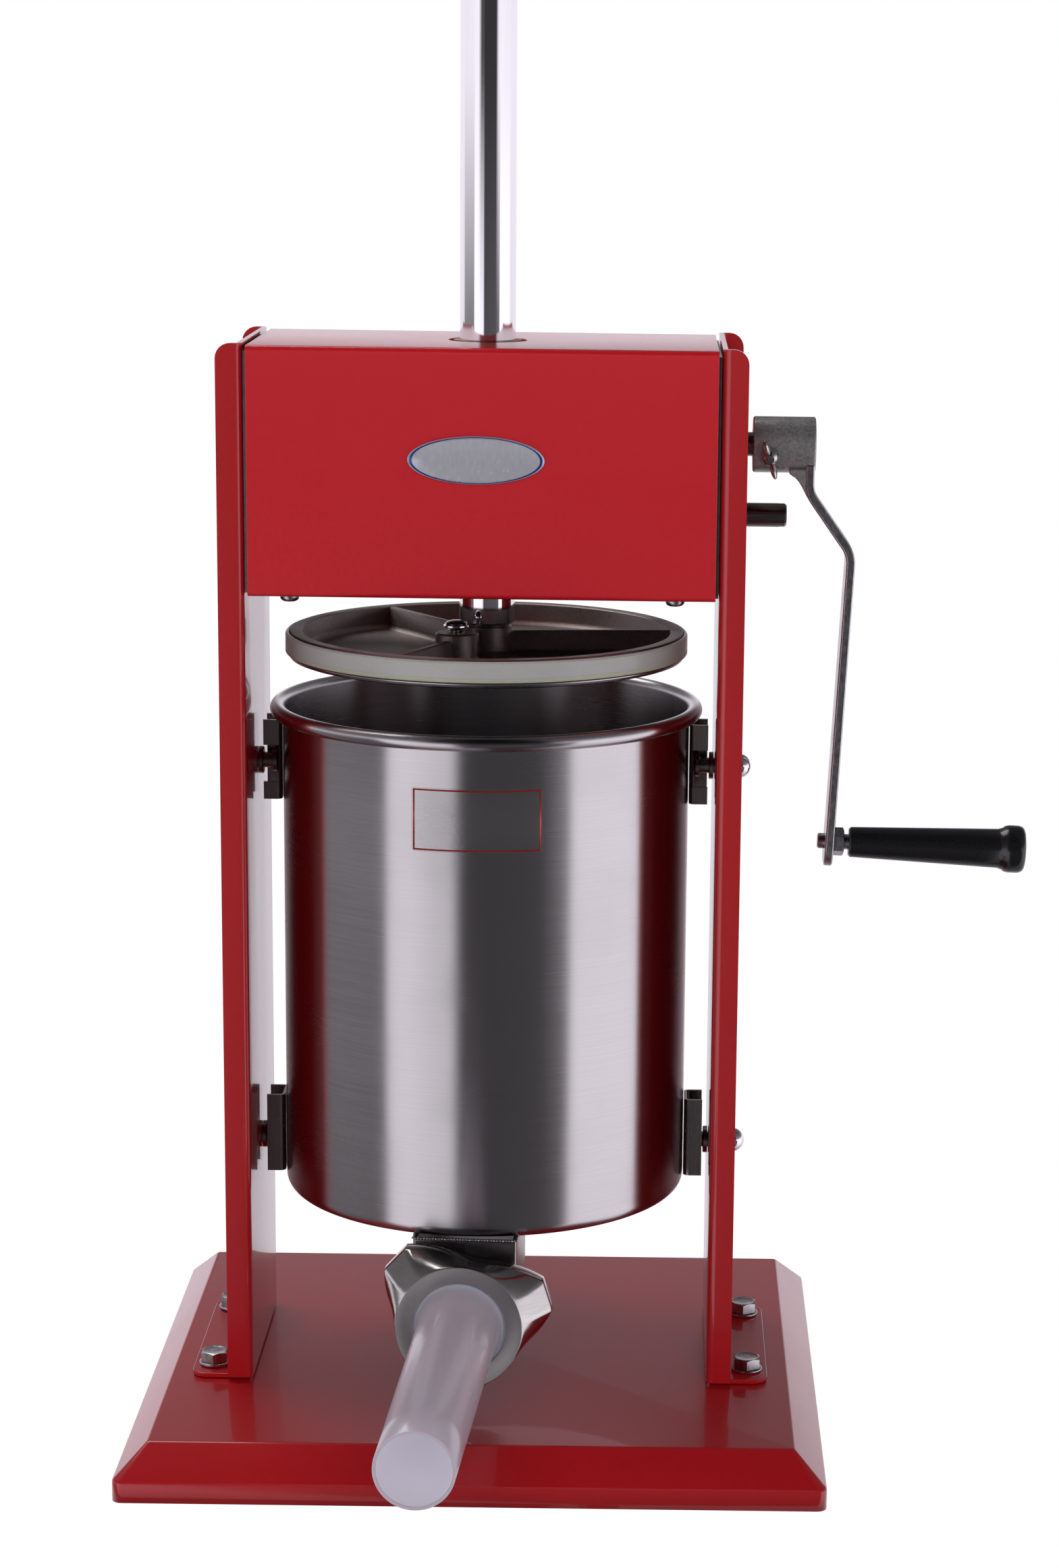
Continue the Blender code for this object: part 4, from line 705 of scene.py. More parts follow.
class Workshop:
    """Turns shapes into finished pieces that ride on the frame's bodies."""

    def __init__(self, nodes: dict[str, bpy.types.Object]) -> None:
        """Keep the frame's nodes and start the material shelf.

        Args:
            nodes: the CAD nodes by name.
        """
        self.nodes = nodes
        self.patterns = PatternLibrary()
        self.shelf: dict[str, bpy.types.Material] = {}

    def material(self, finish: Finish) -> bpy.types.Material:
        """The finish's material, made once.

        Args:
            finish: the finish.
        Returns:
            Its material.
        """
        if finish.name not in self.shelf:
            self.shelf[finish.name] = finish.build(self.patterns)
        return self.shelf[finish.name]

    def dress(self, finish: Finish, *names: str) -> None:
        """Give CAD nodes a finish.

        Args:
            finish: the finish they get.
            names: the nodes.
        """
        for name in names:
            slots = self.nodes[name].data.materials
            slots.clear()
            slots.append(self.material(finish))
            log.info("dressed %s in %s", name, finish.name)

    def piece(self, name: str, bm: bmesh.types.BMesh, finish: Finish, body: str, stands_for: Sequence[str] = (),
              place: Matrix | None = None, wall: float = 0.0, edge: float = 0.0, sharp: float = 32.0,
              holes: Sequence[bmesh.types.BMesh] = (), offset: float = 0.0) -> bpy.types.Object:
        """Make one finished piece.

        Args:
            name: the piece's name.
            bm: its shape, which is used up.
            finish: its finish.
            body: the body it rides on.
            stands_for: the CAD nodes it replaces.
            place: moves the shape into the part's frame.
            wall: thickness of a sheet, or 0 for a solid.
            edge: width of a bevel along its edges, or 0.
            sharp: angle above which an edge is shaded sharp, in degrees.
            holes: shapes that are cut away, used up too.
            offset: which way the wall goes, from -1 to 1.
        Returns:
            The piece.
        """
        mesh = bpy.data.meshes.new(name)
        if place is not None:
            moved(bm, place)
            if place.determinant() < 0:
                bmesh.ops.reverse_faces(bm, faces=bm.faces[:])
        bm.to_mesh(mesh)
        bm.free()
        obj = bpy.data.objects.new(name, mesh)
        bpy.context.scene.collection.objects.link(obj)
        mesh.materials.append(self.material(finish))
        if wall:
            skin = obj.modifiers.new("wall", "SOLIDIFY")
            skin.thickness, skin.offset, skin.use_even_offset = wall, offset, True
        if holes:
            self._cut(obj, holes)
        obj.data.shade_smooth()
        if edge:
            soft = obj.modifiers.new("edge", "BEVEL")
            soft.width, soft.segments, soft.limit_method = edge, EDGE_STEPS, "ANGLE"
            soft.angle_limit, soft.harden_normals, soft.use_clamp_overlap = math.radians(sharp), True, True
        else:
            obj.data.set_sharp_from_angle(angle=math.radians(sharp))
        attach(obj, body)
        if stands_for:
            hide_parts(*stands_for)
        log.info("made %s for %s on %s", name, ", ".join(stands_for) or "no node", body)
        return obj

    @staticmethod
    def _cut(obj: bpy.types.Object, holes: Sequence[bmesh.types.BMesh]) -> None:
        """Cut holes in an object and keep the result as its mesh.

        Args:
            obj: the object to cut.
            holes: the cutting shapes.
        """
        tools = []
        for k, shape in enumerate(holes):
            mesh = bpy.data.meshes.new(f"hole_{k}")
            shape.to_mesh(mesh)
            shape.free()
            tool = bpy.data.objects.new(f"hole_{k}", mesh)
            bpy.context.scene.collection.objects.link(tool)
            step = obj.modifiers.new("hole", "BOOLEAN")
            step.operation, step.solver, step.object = "DIFFERENCE", "EXACT", tool
            tools.append(tool)
        bpy.context.view_layer.update()
        graph = bpy.context.evaluated_depsgraph_get()
        result = bpy.data.meshes.new_from_object(obj.evaluated_get(graph), depsgraph=graph)
        result.name = obj.name
        obj.modifiers.clear()
        old, obj.data = obj.data, result
        bpy.data.meshes.remove(old)
        for tool in tools:
            mesh = tool.data
            bpy.data.objects.remove(tool)
            bpy.data.meshes.remove(mesh)


# ---------------------------------------------------------------- the red frame
@dataclass
class RedFrame:
    """Base tray, two channel uprights and the gearbox cover."""

    shop: Workshop
    base_half: Point = (175 * MM, 161 * MM)
    slope: float = 16 * MM
    lip: float = 10.5 * MM
    base_height: float = 26 * MM
    tray_sheet: float = 2.0 * MM
    tray_bend: float = 2.4 * MM
    tray_corner: float = 5 * MM
    web: float = 116.5 * MM
    sheet: float = 2.5 * MM
    flange: float = 129.3 * MM
    half_depth: float = 60.3 * MM
    bend: float = 3.0 * MM
    top: float = above(556)
    corner: float = 7.4 * MM
    foot_out: float = 32 * MM
    foot_half: float = 57.5 * MM
    foot_corner: float = 8 * MM
    foot_bend: float = 2.6 * MM
    web_holes: tuple[tuple[float, float, float], ...] = (   # radius, y, z
        (9.9 * MM, 0.022, above(466.5)), (9.9 * MM, 0.022, above(502.5)),
        (4.6 * MM, 0, above(140.5)), (4.6 * MM, 0, above(340)),
        (3.6 * MM, -0.036, above(457)), (3.6 * MM, -0.036, above(532)))
    cover_half: tuple[float, float] = (114.8 * MM, 60.4 * MM)
    cover_heights: Point = (above(432.6), above(555))
    cover_sheet: float = 1.2 * MM
    hem: float = 18 * MM
    rod_hole: float = 19.6 * MM

    def build(self) -> None:
        """Make all sheet-metal pieces."""
        self.tray()
        for side, name in ((-1, "left_upright"), (1, "right_upright")):
            self.upright(side, name)
        self.cover()
        self.badge()

    def tray(self) -> None:
        """The bent tray: rounded outlines skinned from the rim up to the flat top."""
        def outline(half: Point, radius: float, height: float, steps: int = 6) -> list[Vector]:
            """A level rectangle with rounded corners.

            Args:
                half: its half sizes.
                radius: radius of its corners.
                height: where it lies.
                steps: segments of each corner.
            Returns:
                The points.
            """
            points = []
            for quarter, (sx, sy) in enumerate(((1, 1), (-1, 1), (-1, -1), (1, -1))):
                for k in range(steps + 1):
                    a = math.pi / 2 * (quarter + k / steps)
                    points.append(Vector((sx * (half[0] - radius) + radius * math.cos(a),
                                          sy * (half[1] - radius) + radius * math.sin(a), height)))
            return points
        w, d = self.base_half
        rise = self.base_height - self.lip
        side = [(0, 0), (0, self.lip), (-self.slope, self.base_height), (-self.slope - 20 * MM, self.base_height)]
        run = filleted(side, self.tray_bend, 5)[:-1]
        sections = []
        for p in run:
            share = max(0.0, (p.y - self.lip) / rise)
            sections.append(outline((w + p.x, d + p.x), self.tray_corner - 3.4 * MM * share, TABLE + p.y))
        bm = loft(sections)
        under = [f for f in bm.faces if f.normal.z < -0.9]
        bmesh.ops.delete(bm, geom=under, context="FACES_ONLY")
        self.shop.piece("base_tray", bm, SHADED_RED, "frame", ["base_pan"], wall=self.tray_sheet, offset=-1.0,
                        sharp=50)

    def upright(self, side: int, name: str) -> None:
        """One channel upright, with flanges outwards and its foot bent out below.

        Args:
            side: -1 for the left one, 1 for the right one.
            name: the node it replaces.
        """
        half = self.half_depth - self.sheet / 2
        web = self.web + self.sheet / 2
        low = 0.3 * MM + self.sheet / 2
        run = filleted([(self.flange, -half), (web, -half), (web, half), (self.flange, half)], self.bend, 5)
        run = [Vector((side * p.x, p.y)) for p in run]
        bm = strip(run, Vector((0, 0, low)), Vector((0, 0, self.top - low)), lambda p: Vector((p.x, p.y, 0)))
        tips = [v for v in bm.verts if abs(abs(v.co.x) - self.flange) < 1e-6 and v.co.z > self.top - 1e-4]
        bmesh.ops.bevel(bm, geom=tips, offset=self.corner, offset_type="OFFSET", segments=6, profile=0.5,
                        affect="VERTICES", clamp_overlap=False, material=-1)
        sole_run = filleted([(web, low + 9 * MM), (web, low), (self.web + self.foot_out, low)],
                            self.foot_bend, 5)
        sole = strip(sole_run, Vector((0, -self.foot_half, 0)), Vector((0, 2 * self.foot_half, 0)),
                     lambda p: Vector((side * p.x, 0, p.y)))
        ends = [v for v in sole.verts if abs(abs(v.co.x) - self.web - self.foot_out) < 1e-6]
        bmesh.ops.bevel(sole, geom=ends, offset=self.foot_corner, offset_type="OFFSET", segments=6, profile=0.5,
                        affect="VERTICES", clamp_overlap=False, material=-1)
        cuts = [moved(lathe([(r, -9 * MM), (r, 9 * MM)], 40), aimed((side * web, y, z), (side, 0, 0)))
                for r, y, z in self.web_holes]
        self.shop.piece(f"{name}_channel", bm, SHADED_RED, "frame", [name], wall=self.sheet, edge=0.55 * MM,
                        sharp=40, holes=cuts)
        self.shop.piece(f"{name}_foot", sole, SHADED_RED, "frame", [name], wall=self.sheet - 0.1 * MM,
                        edge=0.5 * MM, sharp=40)

    def cover(self) -> None:
        """The bent cover with its hems and the rod's hole."""
        t = self.cover_sheet
        half, (low, top) = self.cover_half[1] - t / 2, self.cover_heights
        low, top = low + t / 2, top - t / 2
        run = filleted([(-half + self.hem, low), (-half, low), (-half, top), (half, top), (half, low),
                        (half - self.hem, low)], 2.4 * MM, 6)
        width = self.cover_half[0]
        bm = strip(run, Vector((-width, 0, 0)), Vector((2 * width, 0, 0)), lambda p: Vector((0, p.x, p.y)))
        hole = moved(lathe([(self.rod_hole, -9 * MM), (self.rod_hole, 9 * MM)]), Matrix.Translation((0, 0, top)))
        self.shop.piece("gearbox_cover", bm, RED, "frame", ["gear_cover"], wall=t, edge=0.35 * MM, sharp=40,
                        holes=[hole])

    def badge(self) -> None:
        """The blank oval badge, slightly domed inside a raised rim."""
        (x0, y0, z0), (x1, y1, z1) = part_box("badge")
        half_x, half_z, thick = (x1 - x0) / 2, (z1 - z0) / 2, y1 - y0

        def oval(inset: float, height: float) -> list[Vector]:
            """The badge's outline drawn in by so much, at a height above its back."""
            return [Vector(((half_x - inset) * p.x, (half_z - inset) * p.y, height))
                    for p in round_outline(1.0, 0.0, ROUND)]
        sections = [oval(0, 0), oval(0, 0.5 * thick), oval(0.15 * MM, 0.72 * thick), oval(0.5 * MM, 0.85 * thick),
                    oval(1.0 * MM, 0.8 * thick), oval(1.4 * MM, 0.62 * thick), oval(3 * MM, 0.72 * thick),
                    oval(6 * MM, 0.9 * thick), oval(9 * MM, 0.98 * thick)]
        spot = Matrix.Translation(((x0 + x1) / 2, y1, (z0 + z1) / 2)) @ Matrix.Rotation(math.pi / 2, 4, "X")
        self.shop.piece("oval_badge", loft(sections), BADGE, "frame", ["badge"], place=spot, sharp=40)


# ---------------------------------------------------------------- screws, nuts and bolts
@dataclass
class Fasteners:
    """Every bolt, washer, nut, screw and stud, each from its node's box."""

    shop: Workshop

    def build(self) -> None:
        """Make all fasteners."""
        for side in ("left", "right"):
            for end in ("front", "rear"):
                self.foot_bolt(f"foot_bolt_{side}_{end}")
                self.washer(f"foot_washer_{side}_{end}")
                self.pan_screw(f"cover_screw_{side}_{end}")
            for level in ("lower", "upper"):
                self.frame_bolt(f"frame_bolt_{side}_{level}", side)
                self.dome_nut(f"dome_nut_{side}_{level}", side)
                self.stud(f"stud_{side}_{level}", side)

    @staticmethod
    def chamfered(across: float, height: float) -> Callable[[float], float]:
        """How a 30 degree cone cuts a hexagon's top down towards its corners.

        Args:
            across: size across the flats.
            height: height of the top.
        Returns:
            A function from the distance off the middle to the height there.
        """
        return lambda reach: height - (reach - across / 2 * 0.97) * math.tan(math.radians(30))

    @staticmethod
    def hex_head(across: float, height: float, dish: float = 0.25 * MM) -> bmesh.types.BMesh:
        """A hexagon head on Z from height 0, its top corners cut by a cone.

        Args:
            across: size across the flats.
            height: height of the head.
            dish: how deep the top is recessed in its middle.
        Returns:
            The head.
        """
        rim = across / 2 * 0.95
        sections = [hex_outline(across, lambda r: 0.0), hex_outline(across, Fasteners.chamfered(across, height)),
                    round_outline(rim, height), round_outline(rim - 0.5 * MM, height - dish * 0.2),
                    round_outline(rim - 1.0 * MM, height - dish), round_outline(rim * 0.3, height - dish)]
        return loft(sections)

    def foot_bolt(self, node: str) -> None:
        """A foot bolt's head and shank.

        Args:
            node: the CAD node it replaces.
        """
        low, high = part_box(node)
        x, y = (low.x + high.x) / 2, (low.y + high.y) / 2
        head = moved(self.hex_head(high.x - low.x, 5.3 * MM), Matrix.Translation((x, y, high.z - 5.3 * MM)))
        shank = lathe([(0.0, low.z), (3.4 * MM, low.z), (4 * MM, low.z + 0.7 * MM), (4 * MM, high.z - 5 * MM)], 40)
        moved(shank, Matrix.Translation((x, y, 0)))
        self.shop.piece(f"{node}_hex", joined((head, shank)), ZINC, "frame", [node], sharp=25)

    def washer(self, node: str) -> None:
        """A flat washer with softened rims.

        Args:
            node: the CAD node it replaces.
        """
        low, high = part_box(node)
        outer, t, soft = (high.x - low.x) / 2, high.z - low.z, 0.35 * MM
        ring = [(4.4 * MM, 0), (outer - soft, 0), (outer, soft), (outer, t - soft), (outer - soft, t), (4.4 * MM, t)]
        spot = Matrix.Translation(((low.x + high.x) / 2, (low.y + high.y) / 2, low.z))
        self.shop.piece(f"{node}_ring", lathe(ring, 64, closed=True), ZINC, "frame", [node], place=spot, sharp=50)

    def pan_screw(self, node: str) -> None:
        """A pan-head screw under the cover's hem, with its cross recess left plain.

        Args:
            node: the CAD node it replaces.
        """
        low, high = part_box(node)
        r, head = (high.x - low.x) / 2, 3.1 * MM
        dome = [(0.0, 0.0), (1.1 * MM, 0.05 * MM), (1.3 * MM, -0.0), (r * 0.62, 0.22 * MM), (r * 0.86, 0.8 * MM),
                (r * 0.98, 1.7 * MM), (r, 2.4 * MM), (r * 0.98, head), (2.5 * MM, head), (2.5 * MM, high.z - low.z)]
        spot = Matrix.Translation(((low.x + high.x) / 2, (low.y + high.y) / 2, low.z))
        self.shop.piece(f"{node}_pan", lathe(dome, 48), ZINC, "frame", [node], place=spot, sharp=45)

    def frame_bolt(self, node: str, side: str) -> None:
        """A bolt through an upright's web, head outside.

        Args:
            node: the CAD node it replaces.
            side: "left" or "right".
        """
        low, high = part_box(node)
        way = 1 if side == "right" else -1
        face = (high.x if way > 0 else low.x) - way * 4.0 * MM
        head = self.hex_head(high.z - low.z, 4.0 * MM)
        shank = lathe([(0.0, -12 * MM), (2.6 * MM, -12 * MM), (3.0 * MM, -11.4 * MM), (3.0 * MM, 0.2 * MM)], 32)
        spot = aimed((face, (low.y + high.y) / 2, (low.z + high.z) / 2), (way, 0, 0))
        self.shop.piece(f"{node}_hex", joined((head, shank)), ZINC, "frame", [node], place=spot, sharp=25)

    def dome_nut(self, node: str, side: str) -> None:
        """An acorn nut: a hexagon skirt under a round dome.

        Args:
            node: the CAD node it replaces.
            side: "left" or "right".
        """
        low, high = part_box(node)
        way = 1 if side == "right" else -1
        start, end = (low.x, high.x) if way > 0 else (high.x, low.x)
        across, total, r = 13 * MM, abs(end - start), 6.2 * MM
        skirt = 6.2 * MM
        sections = [hex_outline(across, lambda reach: 0.0), hex_outline(across, self.chamfered(across, skirt)),
                    round_outline(r, skirt)]
        for k in range(9):
            a = math.radians(84) * k / 8
            sections.append(round_outline(r * math.cos(a), total - r + r * math.sin(a)))
        spot = aimed((start, 0, (low.z + high.z) / 2), (way, 0, 0))
        self.shop.piece(f"{node}_acorn", loft(sections), CHROME, "frame", [node], place=spot, sharp=30)

    def stud(self, node: str, side: str) -> None:
        """A headed stud that the canister's hook hangs on.

        Args:
            node: the CAD node it replaces.
            side: "left" or "right".
        """
        way = 1 if side == "right" else -1
        low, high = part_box(node)
        start = low.x if way > 0 else -high.x
        web, out, neck, head = 116.2 * MM, 126.3 * MM, 4 * MM, 6 * MM
        profile = [(0.0, start), (head - 0.7 * MM, start), (head, start + 0.7 * MM), (head, start + 2.8 * MM),
                   (neck, start + 3.3 * MM), (neck, 113.9 * MM), (head + 0.6 * MM, 113.9 * MM),
                   (head + 1 * MM, 114.3 * MM), (head + 1 * MM, web), (neck, web), (neck, out)]
        spot = aimed((0, 0, (low.z + high.z) / 2), (way, 0, 0))
        self.shop.piece(f"{node}_pin", lathe(profile, 48), SHEET, "frame", [node], place=spot, sharp=30)


# ---------------------------------------------------------------- rod, gears and crank
@dataclass
class RodAndGears:
    """The chromed rack rod and the two shafts."""

    shop: Workshop
    module: float = 2.0 * MM
    pitch_y: float = 10 * MM
    pressure: float = math.radians(25)
    backlash: float = 0.3 * MM
    mesh_height: float = above(466.5)
    teeth_below: int = 4
    teeth_above: int = 46

    def build(self) -> None:
        """Make the rod and the shaft ends, and dress the gearbox's inside."""
        self.rod()
        self.shaft("crank_shaft", Axis.CRANK, "crank_shaft", 161 * MM, 0.0)
        self.shaft("drive_shaft", Axis.DRIVE, "drive_train", 151.7 * MM, 4.0 * MM)
        self.shop.dress(OILED, "large_gear", "gear_pin", "gear_frame")
        self.shop.dress(BRONZE, *(n for n in self.shop.nodes if "bush" in n))

    def rod(self) -> None:
        """The rod: a round bar whose rear is toothed, made ring by ring from bottom to top."""
        low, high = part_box("rod")
        radius, chamfer = (high.x - low.x) / 2, 1.6 * MM
        pitch = math.pi * self.module
        tip, root = self.pitch_y + 0.9 * self.module, self.pitch_y - 1.15 * self.module
        tooth = math.pi * self.module / 2 - self.backlash
        half_tip = tooth / 2 - (tip - self.pitch_y) * math.tan(self.pressure)
        half_root = tooth / 2 + (self.pitch_y - root) * math.tan(self.pressure)
        levels = [(low.z, radius - chamfer, radius), (low.z + chamfer, radius, radius)]
        first = self.mesh_height + (0.5 - self.teeth_below) * pitch
        last = self.mesh_height + (0.5 + self.teeth_above) * pitch
        start = first - half_root
        levels += [(start - 0.05 * MM, radius, radius)]
        for k in range(self.teeth_below + self.teeth_above + 1):
            z = first + k * pitch
            levels += [(z - half_root, radius, root), (z - half_tip, radius, tip),
                       (z + half_tip, radius, tip), (z + half_root, radius, root)]
        levels += [(last + half_root + 0.05 * MM, radius, radius), (high.z - chamfer, radius, radius),
                   (high.z, radius - chamfer, radius)]
        sections = [[Vector((p.x, min(p.y, reach), p.z)) for p in round_outline(r, z, 64)] for z, r, reach in levels]
        self.shop.piece("rack_rod", loft(sections), CHROME, "rod_and_piston", ["rod"], sharp=22)

    def shaft(self, node: str, axis: Axis, body: str, end: float, slot: float) -> None:
        """The bare right end of a shaft, over the CAD shaft, with a slot across its end.

        Args:
            node: the CAD shaft, which stays for its pinion.
            axis: the line it turns on.
            body: the body it rides on.
            end: distance of its end from the middle of the machine.
            slot: depth of the slot, or 0.
        """
        self.shop.dress(SHAFT, node)
        r, start = 6.06 * MM, 118 * MM
        profile = [(0.0, start), (r, start), (r, end - 0.9 * MM), (r - 0.9 * MM, end + 0.05 * MM),
                   (0.0, end + 0.05 * MM)]
        cuts = []
        if slot:
            cuts = [moved(box((-1.2 * MM, -2 * r, end - slot), (1.2 * MM, 2 * r, end + 5 * MM)), axis.matrix())]
            grooves = [moved(box((-0.45 * MM, r - 0.4 * MM, end - 22 * MM), (0.45 * MM, r + 3 * MM, end + 5 * MM)),
                             axis.matrix() @ Matrix.Rotation(math.radians(turn), 4, "Z"))
                       for turn in (30, 75, 120, 165, 210, 255, 300, 345)]
            cuts += grooves
        self.shop.piece(f"{node}_end", moved(lathe(profile, 64), axis.matrix()), SHAFT, body, holes=cuts, sharp=30)


@dataclass
class Crank:
    """Crank hub, bar, wing screw, axle and grip."""

    shop: Workshop
    hub_start: float = 134 * MM
    hub_length: float = 31.8 * MM
    hub_radius: float = 14.2 * MM
    bar: Point = (22 * MM, 4.6 * MM)
    shoulder: Point = (163 * MM, -24 * MM)
    elbow: Point = (185 * MM, -55 * MM)
    reach: float = 206 * MM
    past: float = 12.5 * MM
    lean: float = math.radians(2.884)
    bend: float = 16 * MM
    web: tuple[Point, ...] = (       # the web under the hub in mm, from the bar's shoulder and the hub's axis
        (-10.5, -11.5), (-10.5, -13.9), (-9.2, -14.9), (-7.4, -16.0), (-5.7, -17.9), (-4.2, -20.2),
        (-2.9, -22.7), (-1.6, -25.2), (-0.3, -27.4), (0.9, -29.3), (2.0, -27.5), (2.1, -11.5))
    wing_place: tuple[float, float, float] = (142.2 * MM, 0.022, above(502.5))
    wing_tilt: float = math.radians(105)
    wing_turn: float = math.radians(107)
    wing_splay: float = math.radians(38)
    wing_half: tuple[float, float, float] = (5.4 * MM, 1.7 * MM, 3.7 * MM)

    def build(self) -> None:
        """Make the crank."""
        self.arm()
        self.wing_screw()
        self.grip()

    def arm(self) -> None:
        """The cast hub and the bar that springs from it, bends and runs down to the grip."""
        r, a, b = self.hub_radius, self.hub_start, self.hub_start + self.hub_length
        bore = 6.3 * MM
        profile = rounded([(bore, a + 6 * MM), (bore, a), (r, a), (r, b), (bore, b), (bore, b - 6 * MM)], 1.1 * MM, 4)
        hub = moved(lathe(profile, closed=True), Axis.CRANK.matrix())
        low = self.reach + self.past
        lean = (low - abs(self.elbow[1])) * math.tan(self.lean)
        run = filleted([(self.shoulder[0], -9 * MM), self.shoulder, self.elbow, (self.elbow[0] - lean, -low)],
                       self.bend, 10)
        width = self.bar[0]
        place = Matrix.Translation(Axis.CRANK.value[0])
        sheet = strip(run, Vector((0, -width / 2, 0)), Vector((0, width, 0)), lambda p: Vector((p.x, 0, p.y)))
        tips = [v for v in sheet.verts if v.co.z < -low + 1e-5]
        bmesh.ops.bevel(sheet, geom=tips, offset=width * 0.42, offset_type="OFFSET", segments=8, profile=0.5,
                        affect="VERTICES", clamp_overlap=False, material=-1)
        web = [Vector((self.shoulder[0] + x * MM, 0, z * MM)) for x, z in self.web]
        half = width / 2 - 0.6 * MM
        gusset = loft([[p + Vector((0, y, 0)) for p in web] for y in (-half, half)])
        self.shop.piece("crank_web", gusset, HUB_CAST, "crank_handle", ["crank_arm"], place=place, edge=1.2 * MM,
                        sharp=60)
        self.shop.piece("crank_hub", hub, HUB_CAST, "crank_handle", ["crank_arm"], sharp=45)
        self.shop.piece("crank_bar", sheet, ZINC, "crank_handle", ["crank_arm"], place=place, wall=self.bar[1],
                        edge=1.0 * MM, sharp=40)

    def wing_screw(self) -> None:
        """The wing screw: a tapered boss with two flat wings."""
        place = Matrix.Translation(self.wing_place) @ Matrix.Rotation(self.wing_tilt, 4, "X")
        head = self.hub_radius + 0.6 * MM
        boss = lathe(rounded([(0.0, 6.8 * MM), (2.5 * MM, 6.8 * MM), (3.0 * MM, 7.4 * MM), (3.0 * MM, head),
                              (4.3 * MM, head), (3.7 * MM, head + 5.5 * MM), (2.2 * MM, head + 7 * MM),
                              (0.0, head + 7.1 * MM)], 0.25 * MM, 2), 48)
        shapes = [boss]
        for way in (-1, 1):
            wing = bmesh.new()
            bmesh.ops.create_uvsphere(wing, u_segments=32, v_segments=20, radius=1.0)
            bmesh.ops.scale(wing, vec=self.wing_half, verts=wing.verts[:])
            out = Matrix.Translation((way * 6.0 * MM, 0, head + 5.6 * MM))
            turn = Matrix.Rotation(self.wing_turn, 4, "Z") @ out
            shapes.append(moved(wing, turn @ Matrix.Rotation(-self.wing_splay * way, 4, "Y")))
        self.shop.piece("wing_screw_cast", joined(shapes), CAST_SMOOTH, "wing_screw", ["wing_screw"], place=place,
                        sharp=40)

    def grip(self) -> None:
        """The moulded grip, its axle bolt and the lock nut."""
        place = Axis.GRIP.matrix()
        start, end, neck = 10.2 * MM, 102.2 * MM, 92.2 * MM
        slim, wide, bulb, bore, sink = 7.9 * MM, 10.25 * MM, 12.4 * MM, 4.3 * MM, 7 * MM
        profile = [(bore, start), (slim - 1.0 * MM, start), (slim, start + 1.0 * MM)]
        profile += [(slim + (wide - slim) * k / 8, start + 1 * MM + (neck - 5 * MM - start) * k / 8)
                    for k in range(1, 9)]
        profile += [(bulb - 1.4 * MM, neck - 1.8 * MM), (bulb - 0.4 * MM, neck - 0.4 * MM), (bulb, neck + 1.6 * MM),
                    (bulb, end - 3.6 * MM), (bulb - 0.5 * MM, end - 1.7 * MM), (bulb - 1.6 * MM, end - 0.5 * MM),
                    (bulb - 3.2 * MM, end), (7.4 * MM, end), (7.0 * MM, end - 0.5 * MM), (7 * MM, end - sink - MM),
                    (bore, end - sink - MM)]
        self.shop.piece("moulded_grip", lathe(profile, closed=True), BLACK, "grip", ["grip"], place=place,
                        sharp=40)
        r = 4 * MM
        axle = [(0.0, -6 * MM), (r - 0.6 * MM, -6 * MM), (r, -5.3 * MM), (r, end - sink - 0.2 * MM),
                (6.2 * MM, end - sink - 0.2 * MM), (6.2 * MM, end - sink + 2.6 * MM), (5.0 * MM, end - sink + 4 * MM),
                (0.0, end - sink + 4 * MM)]
        self.shop.piece("grip_axle_bolt", lathe(axle, 48), ZINC, "crank_handle", ["grip_axle"], place=place, sharp=35)
        nut = moved(Fasteners.hex_head(13 * MM, 5.2 * MM, 0.0), Matrix.Translation((0, 0, 2.6 * MM)))
        self.shop.piece("grip_lock_nut", nut, ZINC, "crank_handle", ["grip_nut"], place=place, sharp=25)


